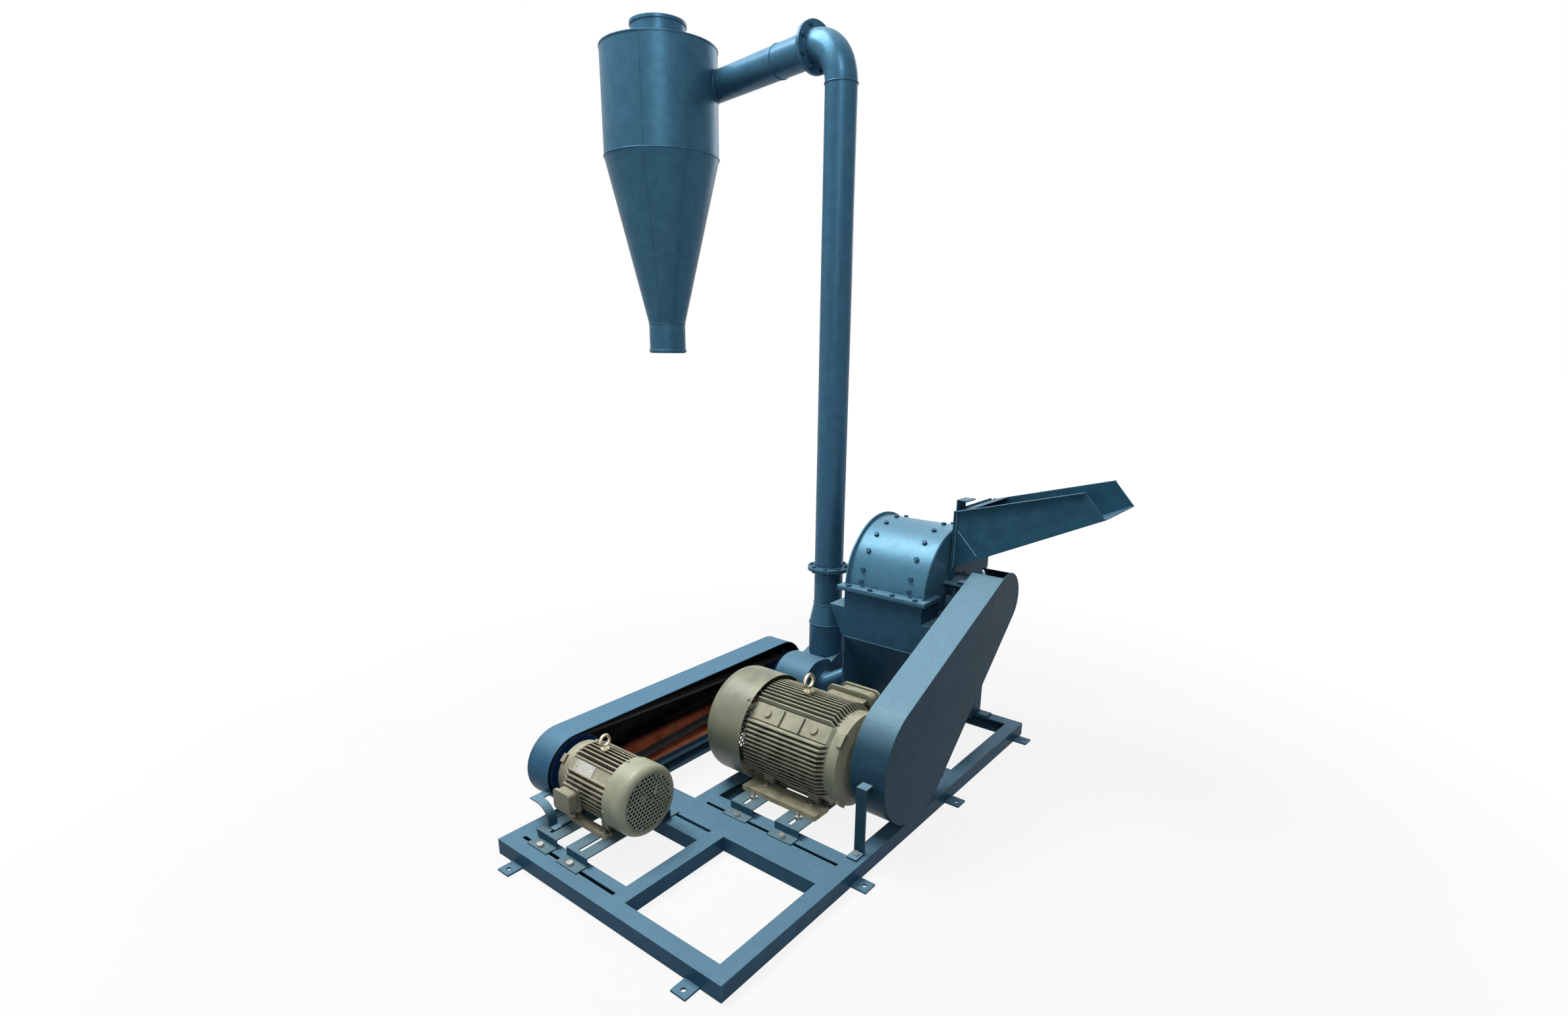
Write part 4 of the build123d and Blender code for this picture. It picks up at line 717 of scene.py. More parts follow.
@dataclass(frozen=True)
class BareMetal:
    """Zinc-plated, ground or turned metal, with stains and fine scratches."""

    name: str
    base: Colour = (0.62, 0.61, 0.57)
    stain: Colour = (0.30, 0.25, 0.18)
    rough: float = 0.34
    metal: float = 1.0
    stains: float = 0.4
    grain: Colour = (1.0, 1.0, 1.0)
    seed: float = 0.0
    edge: float = 0.0008
    depth: float = 0.0001

    def material(self) -> bpy.types.Material:
        """Stained metal whose scratches run along the axis with the smallest grain.

        Returns:
            The finished material.
        """
        s = Shade(self.name)
        blotch = s.noise(scale=38.0, detail=5.0, seed=self.seed)
        patches = s.ramp(blotch, low=0.42, high=0.75, top=self.stains)
        s.feed(s.bsdf.inputs["Base Color"], s.mix(patches, self.base, self.stain))
        s.bsdf.inputs["Metallic"].default_value = self.metal
        scratch = s.noise(scale=180.0, detail=3.0, stretch=self.grain, seed=self.seed + 1.0)
        rough = s.calc("ADD", s.calc("MULTIPLY", scratch, 0.22), self.rough - 0.1)
        s.feed(s.bsdf.inputs["Roughness"], s.calc("ADD", rough, s.calc("MULTIPLY", patches, 0.3)))
        s.feed(s.bsdf.inputs["Normal"], s.bump(scratch, self.depth, s.rounded(self.edge)))
        return s.material


@dataclass(frozen=True)
class Moulded:
    """Black rubber or plastic, with chalky wear."""

    name: str
    base: Colour = (0.005, 0.005, 0.006)
    chalk: Colour = (0.022, 0.018, 0.017)
    rough: float = 0.75
    depth: float = 0.0002

    def material(self) -> bpy.types.Material:
        """Dark base with chalky patches and a fine woven-looking bump.

        Returns:
            The finished material.
        """
        s = Shade(self.name)
        patches = s.ramp(s.noise(scale=30.0, detail=5.0), low=0.45, high=0.8, top=0.6)
        s.feed(s.bsdf.inputs["Base Color"], s.mix(patches, self.base, self.chalk))
        fine = s.noise(scale=500.0, detail=2.0)
        s.feed(s.bsdf.inputs["Roughness"], s.calc("ADD", s.calc("MULTIPLY", fine, 0.2), self.rough - 0.1))
        s.feed(s.bsdf.inputs["Normal"], s.bump(fine, self.depth))
        return s.material


def foot_top(node: str, thick: float) -> float:
    """Height of the top of a motor's feet, from its lowest corner and the thickness of a foot in metres."""
    return float(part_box(node)[0][2]) + thick


class Paint(Enum):
    """The finishes of the set, each on the pieces that share it."""

    BASE = Enamel("enamel base", base=(0.030, 0.094, 0.160), deep=(0.022, 0.070, 0.122), dust_and_sheen=0.36, seed=3.0)
    BODY = Enamel("enamel body", seed=5.0)
    # A lighter copy of the enamel: painted light on the cover's curved top.
    LIT_COVER = Enamel("enamel cover, painted light", base=(0.064, 0.170, 0.255), deep=(0.052, 0.142, 0.215), gloss=0.34,
                   flake=0.30, dust_and_sheen=0.35, seed=7.0)
    # A darker copy of the enamel: painted shade on the guard's faces.
    SHADED_GUARD = Enamel("enamel guard, painted shade", base=(0.024, 0.066, 0.104), deep=(0.017, 0.050, 0.080), gloss=0.34,
                   coat=0.04, flake=0.10, dust_and_sheen=0.62, seed=9.0)
    BLOWER_GUARD = Enamel("enamel blower guard", base=(0.034, 0.110, 0.196), deep=(0.026, 0.088, 0.158),
                          dust_and_sheen=0.30, inside=Inside.BLOWER_GUARD, seed=11.0)
    PIPE = Enamel("enamel pipes", base=(0.042, 0.120, 0.196), deep=(0.032, 0.094, 0.156), gloss=0.34,
                  flake=0.35, dust_and_sheen=0.2, seed=13.0)
    CYCLONE = Enamel("enamel cyclone", base=(0.042, 0.120, 0.188), deep=(0.030, 0.092, 0.150), gloss=0.34,
                     flake=0.35, dust_and_sheen=0.2, seed=15.0)
    CHUTE = Enamel("enamel chute", base=(0.028, 0.096, 0.156), deep=(0.016, 0.060, 0.102),
                   dust_and_sheen=0.2, seed=17.0)
    # Pale enamel: painted highlight on the chute's weld beads.
    WELD_HIGHLIGHT = Enamel("enamel weld beads, painted highlight", base=(0.120, 0.240, 0.320), deep=(0.060, 0.150, 0.220), gloss=0.26,
                  flake=0.4, coat=0.15, dust_and_sheen=0.5, seed=45.0)
    BOLT = Enamel("enamel bolt heads", base=(0.024, 0.086, 0.150), deep=(0.014, 0.052, 0.096),
                  dust_and_sheen=0.2, seed=18.0)
    PULLEY = Enamel("enamel pulleys", base=(0.008, 0.034, 0.120), deep=(0.005, 0.022, 0.080),
                    dust_and_sheen=0.1, seed=19.0)
    MOTOR = CastPaint("motor casting", sand_top=foot_top("main_motor_housing", 0.019), seed=21.0)
    SMALL_MOTOR = CastPaint("blower motor casting", base=(0.240, 0.230, 0.165), dust_and_sheen_colour=(0.46, 0.43, 0.32),
                            sand_top=foot_top("blower_motor_housing", 0.013), seed=23.0)
    COWL = CastPaint("motor cowl", base=(0.285, 0.305, 0.215), painted_shade=(0.05, 0.05, 0.035), rough=0.42,
                     dust_and_sheen=0.2, pits=0.00012, seed=25.0)
    SLIDE = Enamel("enamel slide rails", base=(0.044, 0.120, 0.185), deep=(0.026, 0.078, 0.122),
                   dust_and_sheen_colour=(0.22, 0.29, 0.30), dust_and_sheen=0.4, seed=27.0)
    ZINC = BareMetal("zinc bolts", seed=29.0)
    EYE = BareMetal("plated lifting eye", base=(0.70, 0.64, 0.50), rough=0.26, stains=0.25, seed=31.0)
    STEEL = BareMetal("turned steel", base=(0.52, 0.52, 0.51), grain=(0.1, 3.0, 3.0), seed=33.0)
    WORN = BareMetal("worn mill steel", base=(0.30, 0.29, 0.28), stain=(0.20, 0.13, 0.08), rough=0.45,
                     stains=0.7, seed=35.0)
    IRON = CastPaint("bearing casting", base=(0.045, 0.12, 0.19), painted_shade=(0.012, 0.025, 0.035),
                     dust_and_sheen_colour=(0.20, 0.24, 0.25), rough=0.4, dust_and_sheen=0.35, pits=0.0004, seed=37.0)
    BELT = Moulded("belt rubber")
    FAN = Moulded("fan plastic", base=(0.02, 0.02, 0.022), rough=0.45)
    MAIN_COWL = CastPaint("main motor cowl", base=(0.165, 0.178, 0.124), painted_shade=(0.04, 0.04, 0.028),
                          rough=0.42, dust_and_sheen=0.2, pits=0.00012, seed=43.0)
    PLATE = BareMetal("blank rating plate", base=(0.50, 0.50, 0.47), stain=(0.16, 0.15, 0.12), rough=0.4,
                      stains=0.6, seed=39.0)


class Store:
    """Makes each finish once and hands it out."""

    def __init__(self) -> None:
        """Starts with nothing made."""
        self.made: dict[Paint, bpy.types.Material] = {}

    def get(self, paint: Paint) -> bpy.types.Material:
        """The material of a finish, made on first use.

        Args:
            paint: The finish.

        Returns:
            Its material.
        """
        if paint not in self.made:
            self.made[paint] = paint.value.material()
        return self.made[paint]


STORE = Store()


def dress(paint: Paint, *nodes: str) -> None:
    """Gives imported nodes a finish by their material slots.

    Args:
        paint: The finish.
        nodes: Names of the nodes that get it.
    """
    for name in nodes:
        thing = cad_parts[name]
        if not thing.material_slots:
            thing.data.materials.append(STORE.get(paint))
        for slot in thing.material_slots:
            slot.material = STORE.get(paint)


# ---------------------------------------------------------------- sub-assemblies


@dataclass
class AirPath:
    """Riser, elbow, cross duct and cyclone, with the welds that join them."""

    riser: tuple[float, float] = (172.0, 1444.0)
    pipe: float = 57.15
    collar: float = 74.0
    neck_low: float = 345.0
    neck_high: float = 428.0
    joint: float = 574.0
    flange: float = 7.0
    duct_z: float = 2429.0
    bend: float = 140.0
    cyclone: tuple[float, float] = (-734.0, 1454.0)
    shell: float = 236.0
    seam: float = 2165.0
    top: float = 2553.0
    cone_end: float = 1515.0
    spout: float = 78.0
    outlet: float = 110.0
    inset: float = 4.0
    lid: float = 5.0
    duct_joint: float = 330.0
    lap_turn: float = -62.0
    bead: float = 2.6
    lap_bead: float = 1.8
    proud: float = 0.5
    weld_step: float = 1.8

    def course(self) -> Array:
        """Direction of the cross duct, which meets the shell along a tangent.

        Returns:
            A level unit vector from the riser to the cyclone.
        """
        gap = np.array(self.cyclone) - np.array(self.riser)
        span = float(np.hypot(*gap))
        yaw = np.arctan2(gap[1], -gap[0]) + np.arcsin((self.shell - self.pipe - self.inset) / span)
        return np.array([-np.cos(yaw), np.sin(yaw), 0.0])

    def ring_weld(self, piece: Surface, centre: Array, radius: float, axis: Axis, size: float) -> None:
        """A closed weld bead round a pipe.

        Args:
            piece: The welds that it joins.
            centre: Middle of the ring.
            radius: Its radius.
            axis: Bench axis of the pipe.
            size: Base size of the bead.
        """
        count = int(2 * np.pi * radius / self.weld_step)
        path = circle(centre, radius, axis, count)
        piece.tube(path, ripple(2 * np.pi * radius, count, size), path - centre, sides=6, closed=True)

    def duct_ring(self, piece: Surface, distance: float, radius: float, size: float) -> None:
        """A weld bead round the cross duct.

        Args:
            piece: The welds that it joins.
            distance: How far along the duct it is, from the riser's axis.
            radius: Its radius.
            size: Base size of the bead.
        """
        course = self.course()
        centre = np.array([*self.riser, self.duct_z]) + distance * course
        across = np.array([-course[1], course[0], 0.0])
        count = int(2 * np.pi * radius / self.weld_step)
        angle = np.linspace(0.0, 2 * np.pi, count, endpoint=False)
        spoke = np.cos(angle)[:, None] * across + np.sin(angle)[:, None] * np.array([0.0, 0.0, 1.0])
        path = centre + radius * spoke
        piece.tube(path, ripple(2 * np.pi * radius, count, size), spoke, sides=6, closed=True)

    def inlet_weld(self, piece: Surface) -> None:
        """The bead where duct and shell meet: each line along the duct is run on to the shell's circle.

        Args:
            piece: The welds that it joins.
        """
        points, length = 260, 420.0
        course = self.course()
        start = np.array([*self.riser, self.duct_z])
        across = np.array([-course[1], course[0], 0.0])
        angle = np.linspace(0.0, 2 * np.pi, points, endpoint=False)
        spoke = np.cos(angle)[:, None] * across + np.sin(angle)[:, None] * np.array([0.0, 0.0, 1.0])
        root = start + self.pipe * spoke
        gap = root[:, :2] - np.array(self.cyclone)
        ahead = gap @ course[:2]
        beyond = (gap**2).sum(1) - self.shell**2
        reach = -ahead - np.sqrt(np.maximum(ahead * ahead - beyond, 0.0))
        path = root + reach[:, None] * course
        outward = unit(np.column_stack([path[:, :2] - np.array(self.cyclone), np.zeros(len(path))]) + spoke)
        piece.tube(path, ripple(length, points, self.bead + 0.6), outward, sides=6, closed=True)

    def build(self) -> None:
        """Dresses the air path and adds its welds."""
        dress(Paint.PIPE, "riser_pipe", "elbow", "cross_duct", "discharge_neck", "suction_duct")
        dress(Paint.CYCLONE, "cyclone_body", "cyclone_lid")
        foot = np.array([*self.riser, 0.0])
        welds = Surface("riser_welds", "riser_pipe")
        up = np.array([0.0, 0.0, 1.0])
        for z, radius in (
            (self.neck_low, self.collar),
            (self.neck_high, self.pipe),
            (self.joint - self.flange, self.pipe),
            (self.joint + self.flange, self.pipe),
            (self.duct_z - self.bend, self.pipe),
        ):
            self.ring_weld(welds, foot + z * up, radius + self.proud, Axis.Z, self.bead)
        for distance in (self.bend - self.flange, self.bend + self.flange, self.duct_joint):
            self.duct_ring(welds, distance, self.pipe + self.proud, self.bead)
        welds.build(STORE.get(Paint.PIPE))
        drum = np.array([*self.cyclone, 0.0])
        shell = Surface("cyclone_welds", "cyclone_body")
        self.ring_weld(shell, drum + self.seam * up, self.shell, Axis.Z, self.bead + 0.3)
        self.ring_weld(shell, drum + self.cone_end * up, self.spout, Axis.Z, self.bead)
        self.ring_weld(shell, drum + (self.top + self.lid) * up, self.outlet, Axis.Z, self.bead)
        self.inlet_weld(shell)
        side = np.radians(self.lap_turn)
        spoke = np.array([np.cos(side), np.sin(side), 0.0])
        head = drum + self.shell * spoke + self.top * up
        waist = drum + self.shell * spoke + self.seam * up
        toe = drum + self.spout * spoke + self.cone_end * up
        lap_length, cone_length = self.top - self.seam, 680.0
        for end, length in ((head, lap_length), (toe, cone_length)):
            line = straight(tuple(waist), tuple(end))
            shell.tube(line, ripple(length, len(line), self.lap_bead), spoke, sides=6)
        shell.build(STORE.get(Paint.CYCLONE))


@dataclass
class Mill:
    """Mill body, cover, chute and gate, with their welds."""

    left: float = 422.0
    right: float = 736.0
    plate: float = 6.0
    axis_y: float = 1430.0
    axis_z: float = 600.0
    skin: float = 225.0
    front: float = 1192.0
    knee: float = 412.0
    hopper: float = 150.0
    run: float = 143.0
    bead: float = 2.2
    corner: float = 6.5

    def build(self) -> None:
        """Dresses the mill, adds beads along its plates and sets its chute."""
        dress(Paint.BODY, "mill_lower_body", "blower_casing")
        dress(Paint.LIT_COVER, "mill_cover")
        dress(Paint.CHUTE, "slide_gate")
        dress(Paint.IRON, "mill_bearings", "blower_bearing")
        dress(Paint.WORN, "mill_liner", "mill_screen", "rotor_discs", "impeller")
        dress(Paint.WORN, *(f"hammers_{k}" for k in (1, 2, 3, 4)))
        dress(Paint.STEEL, "rotor_shaft", "hammer_pins", "blower_shaft")
        dress(Paint.BOLT, "cover_bolts", "flange_bolts")
        cover = Surface("cover_welds", "mill_cover")
        middle = np.array([0.0, self.axis_y, self.axis_z])
        points, arc_length, line_length, over, inset = 420, 700.0, 300.0, 9, 4
        for x, size in ((self.left + self.plate, 2.4), (self.right - self.plate / 2, 2.0)):
            path = circle(middle + np.array([x, 0.0, 0.0]), self.skin + 0.6, Axis.X, points, 2.5, 177.5)
            cover.tube(path, ripple(arc_length, points, size), path - middle, sides=6)
        for y in (self.axis_y - self.skin, self.axis_y + self.skin):
            z = self.axis_z + over
            line = straight((self.left + inset, y, z), (self.right - inset, y, z))
            cover.tube(line, ripple(line_length, len(line), self.bead), np.array([0.0, 1.0, 0.4]), sides=6)
        cover.build(STORE.get(Paint.LIT_COVER))
        body = Surface("body_welds", "mill_lower_body")
        back, in_left, in_right = self.front + self.run, self.left + self.plate, self.right - self.plate
        edge_left, edge_right = self.left + self.corner, self.right - self.corner
        lines = [
            ((self.left, self.front, self.axis_z - over), (self.right, self.front, self.axis_z - over)),
            ((in_left, self.front, self.knee), (in_right, self.front, self.knee)),
            ((in_left, back, self.hopper), (in_right, back, self.hopper)),
            ((edge_left, self.front, self.knee), (edge_left, back, self.hopper)),
            ((edge_right, self.front, self.knee), (edge_right, back, self.hopper)),
        ]
        for start, end in lines:
            line = straight(start, end)
            length = float(np.linalg.norm(np.subtract(end, start)))
            body.tube(line, ripple(length, len(line), self.bead), np.array([0.2, -1.0, 0.3]), sides=6)
        body.build(STORE.get(Paint.BODY))
        Chute().build()


# Profile of a domed screw head: height and radius, in mm.
SCREW = np.array([[-1.5, 4.2], [0.8, 4.2], [1.9, 3.6], [2.7, 2.4], [3.1, 1.0]])


@dataclass
class FanCowl:
    """A pressed fan cowl: a drum with a round shoulder and a perforated end, screwed on by four tabs."""

    motor: str
    paint: Paint
    middle: tuple[float, float, float]
    facing: float
    radius: float
    fin: float
    rim: float
    end: float
    pitch: float
    hole: float
    screw_turn: float
    wall: float = 2.5
    dish: float = 2.0
    steps: int = 128
    hole_sides: int = 10
    bend_share: float = 0.22
    disc_share: float = 0.80
    step_share: float = 0.802
    tab_half: tuple[float, float] = (3.0, 8.0)

    def at(self, along: Array, out: Array, angle: Array) -> Array:
        """Points round the shaft.

        Args:
            along: Distance along the shaft from its shoulder.
            out: Radius.
            angle: Angle from bench y, in radians.

        Returns:
            Bench points, with one more axis than the arguments.
        """
        shape = np.broadcast(along, out, angle).shape
        points = np.empty(shape + (3,))
        points[..., 0] = self.middle[0] + self.facing * along
        points[..., 1] = self.middle[1] + out * np.cos(angle)
        points[..., 2] = self.middle[2] + out * np.sin(angle)
        return points

    def shell(self, piece: Surface) -> None:
        """The drum: a profile out along the inside, round the rim and back to the dished end, turned once.

        Args:
            piece: The cowl that it joins.
        """
        r, w, end = self.radius, self.wall, self.end
        bend, edge, step = self.bend_share * r, self.disc_share * r, self.step_share * r
        bend_points = 12
        turn = np.radians(np.linspace(90.0, 0.0, bend_points))
        hollow = bend - w
        inner = np.stack([end - bend + hollow * np.cos(turn), r - bend + hollow * np.sin(turn)], 1)[::-1]
        outer = np.stack([end - bend + bend * np.cos(turn), r - bend + bend * np.sin(turn)], 1)
        profile = np.vstack([
            [[end - self.dish - w, edge], [end - self.dish - w, step + 0.6], [end - w, step + 2.2]],
            inner,
            [[self.rim + 1.0, r - w], [self.rim, r - w + 0.6], [self.rim, r - 0.6], [self.rim + 1.0, r]],
            outer,
            [[end, step + 2.4], [end - 0.6, step + 1.6],
             [end - self.dish, step + 0.4], [end - self.dish, edge]],
        ])
        angle = np.arange(self.steps) * 2 * np.pi / self.steps
        piece.grid(self.at(profile[:, :1], profile[:, 1:], angle[None]), wrap_v=True)

    def grille(self, piece: Surface) -> None:
        """The end disc: a hexagonal lattice of round holes, cut through both faces and walled.

        Args:
            piece: The cowl that it joins.
        """
        edge, sides = self.disc_share * self.radius, self.hole_sides
        span = int(edge / self.pitch) + 2
        i, j = np.meshgrid(np.arange(-span, span + 1), np.arange(-span, span + 1), indexing="ij")
        along, over = (i + 0.5 * (j % 2)) * self.pitch, j * self.pitch * np.sqrt(0.75)
        middle = np.stack([along, over], -1).reshape(-1, 2)
        middle = middle[np.hypot(middle[:, 0], middle[:, 1]) < edge - self.hole - 1.5]
        angle = np.arange(self.steps) * 2 * np.pi / self.steps
        rim = edge * np.stack([np.cos(angle), np.sin(angle)], 1)
        around = np.arange(sides) * 2 * np.pi / sides
        loops = middle[:, None] + self.hole * np.stack([np.cos(around), np.sin(around)], 1)[None]
        flat = np.vstack([rim, loops.reshape(-1, 2)])
        outline = np.stack([np.arange(self.steps), np.roll(np.arange(self.steps), -1)], 1)
        index = self.steps + np.arange(len(middle) * sides).reshape(-1, sides)
        cuts = np.stack([index, np.roll(index, -1, 1)], -1).reshape(-1, 2)
        points, _, faces, *_ = delaunay_2d_cdt(
            [Vector(p) for p in flat.tolist()], np.vstack([outline, cuts]).tolist(), [], 0, 1e-5)
        plane = np.array([tuple(p) for p in points])
        triangles = np.array([f for f in faces if len(f) == 3])
        mid = plane[triangles].mean(1)
        gap = np.hypot(mid[:, None, 0] - middle[None, :, 0], mid[:, None, 1] - middle[None, :, 1]).min(1)
        triangles = triangles[gap > 0.94 * self.hole]
        across, turn = np.hypot(plane[:, 0], plane[:, 1]), np.arctan2(plane[:, 1], plane[:, 0])
        front, back = self.end - self.dish, self.end - self.dish - self.wall
        piece.sheet(self.at(np.full(len(plane), front), across, turn), triangles)
        piece.sheet(self.at(np.full(len(plane), back), across, turn), triangles[:, ::-1])
        out, lean = np.hypot(loops[..., 0], loops[..., 1]), np.arctan2(loops[..., 1], loops[..., 0])
        for one in range(len(middle)):
            wall = [self.at(np.full(sides, place), out[one], lean[one]) for place in (front, back)]
            piece.grid(np.stack(wall), wrap_v=True)

    def build(self) -> None:
        """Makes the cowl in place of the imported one, with its tabs and screws."""
        piece = Surface(f"{self.motor}_fan_cowl", f"{self.motor}_cowl")
        self.shell(piece)
        self.grille(piece)
        low, high = 0.93 * self.fin, self.radius - 1.0
        thick, wide = self.tab_half
        for quarter in range(4):
            turn = np.radians(45.0 + 90.0 * quarter)
            out = np.array([0.0, np.cos(turn), np.sin(turn)])
            side = np.array([0.0, -np.sin(turn), np.cos(turn)])
            centre = self.at(np.array(self.rim - 1.0), np.array((low + high) / 2), np.array(turn))
            piece.brick(centre, np.array([thick, 0.0, 0.0]), out * (high - low) / 2, side * wide)
        cowl = piece.build(STORE.get(self.paint))
        cowl.modifiers.new("flat faces", "WEIGHTED_NORMAL").keep_sharp = True
        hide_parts(f"{self.motor}_cowl")
        screws = Surface(f"{self.motor}_cowl_screws", "motor_bolts")
        for quarter in range(4):
            turn = np.radians(self.screw_turn + 90.0 * quarter)
            base = self.at(np.array(self.rim + 0.07 * self.radius), np.array(self.radius), np.array(turn))
            outwards = np.array([0.0, np.cos(turn), np.sin(turn)])
            screws.knob(base, outwards, SCREW * (1.0 + self.radius / 400.0))
        screws.build(STORE.get(self.paint))


@dataclass
class RatingPlate:
    """The blank plate riveted to a motor's upper pad."""

    middle: tuple[float, float, float] = (49.0, 273.0, 142.0)
    out: float = 98.6
    along: tuple[float, float] = (130.0, 216.0)
    across: tuple[float, float] = (-20.0, 16.0)
    thick: float = 2.8
    rivet: float = 0.75

    def build(self) -> None:
        """A thin plate square to the pad, and two domed rivets on its long middle line."""
        lean = np.sqrt(0.5)
        normal, up = np.array([0.0, -lean, lean]), np.array([0.0, lean, lean])
        piece = Surface("blower_motor_rating_plate", "blower_motor_housing")
        x, line = np.mean(self.along), np.mean(self.across)
        centre = np.array([x, self.middle[1], self.middle[2]]) + normal * (self.out + 0.9) + up * line
        half = (self.along[1] - self.along[0]) / 2, (self.across[1] - self.across[0]) / 2
        piece.brick(centre, np.array([half[0], 0.0, 0.0]), up * half[1], normal * self.thick / 2)
        for x in (self.along[0] + 9.0, self.along[1] - 11.0):
            base = np.array([x, self.middle[1], self.middle[2]]) + normal * (self.out + 2.2) + up * line
            piece.knob(base, normal, SCREW * self.rivet, steps=12)
        soften(piece.build(STORE.get(Paint.PLATE), smooth=False), 0.0005)


@dataclass
class Chute:
    """The feed tray of folded plate: two sides, a bent floor, lips, a bridge over the gate and its frame."""

    near: float = 1380.0
    far: float = 1680.0
    wall: float = 3.0
    lip: float = 13.0
    mill: float = 736.0
    start: float = 744.0
    frame_low: float = 628.0
    guide: float = 12.0
    floor_line: tuple[tuple[float, float], ...] = ((744.0, 692.0), (882.0, 755.0), (1243.0, 928.0))
    brow: tuple[float, float] = (1172.0, 1007.0)
    top: float = 890.0
    bridge: float = 60.0
    seam_line: tuple[tuple[float, float], ...] = ((755.0, 824.0), (833.0, 744.0))

    def at(self, points: tuple[tuple[float, float], ...], y: float) -> Array:
        """Points (x, z) set at one y, as an array of shape (n, 3)."""
        flat = np.array(points, float)
        return np.stack([flat[:, 0], np.full(len(flat), y), flat[:, 1]], 1)

    def build(self) -> None:
        """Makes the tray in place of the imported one, with the frame's end plate under its floor."""
        piece = Surface("feed_tray", "feed_chute")
        deep = np.array([0.0, self.wall, 0.0])
        outline = self.floor_line + (self.brow, (self.start, self.top))
        for y in (self.near, self.far - self.wall):
            piece.slab(self.at(outline, y), deep)
        width = np.array([0.0, self.far - self.near - 2 * self.wall, 0.0])
        rise = np.array([0.0, 0.0, self.wall * 1.12])
        piece.bar(self.at(self.floor_line, self.near + self.wall), width, rise)
        slope = (self.brow[1] - self.top) / (self.brow[0] - self.start)
        ridge = ((self.start, self.top), self.brow)
        drop = np.array([0.0, 0.0, -self.wall])
        for y in (self.near - self.lip, self.far):
            piece.bar(self.at(ridge, y), np.array([0.0, self.lip, 0.0]), drop)
        cover = ((self.start, self.top), (self.start + self.bridge, self.top + slope * self.bridge))
        piece.bar(self.at(cover, self.near + self.wall), width, drop)
        joint, low = self.start + 0.5, self.floor_line[0][1] - 2.0
        upright = ((self.mill, self.frame_low), (self.mill, self.top))
        across, depth = np.array([0.0, self.guide, 0.0]), np.array([joint - self.mill, 0.0, 0.0])
        for y in (self.near, self.far - self.guide):
            piece.bar(self.at(upright, y), across, depth)
        sill = ((self.mill, self.frame_low), (self.mill, low))
        piece.bar(self.at(sill, self.near + self.guide),
                  np.array([0.0, self.far - self.near - 2 * self.guide, 0.0]),
                  np.array([joint - self.mill + self.wall, 0.0, 0.0]))
        flange = ((self.start, low - 20.0), (self.start, self.top + 3.0))
        for y in (self.near - self.lip, self.far):
            piece.bar(self.at(flange, y), np.array([0.0, self.lip, 0.0]), np.array([self.wall, 0.0, 0.0]))
        tray = piece.build(STORE.get(Paint.CHUTE), smooth=False)
        soften(tray, 0.0006)
        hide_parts("feed_chute")
        beads = Surface("chute_welds", "feed_chute")
        seam = straight(*map(tuple, self.at(self.seam_line, self.near - 0.2)))
        beads.tube(seam, ripple(112.0, len(seam), 2.8), np.array([0.0, 1.0, 0.0]), sides=8)
        x, y = self.start + 3.5, self.near - 0.5
        corner = straight((x, y, low), (x, y, self.top - 6))
        beads.tube(corner, ripple(200.0, len(corner), 2.6), np.array([0.0, 1.0, 0.0]), sides=8)
        beads.build(STORE.get(Paint.WELD_HIGHLIGHT))


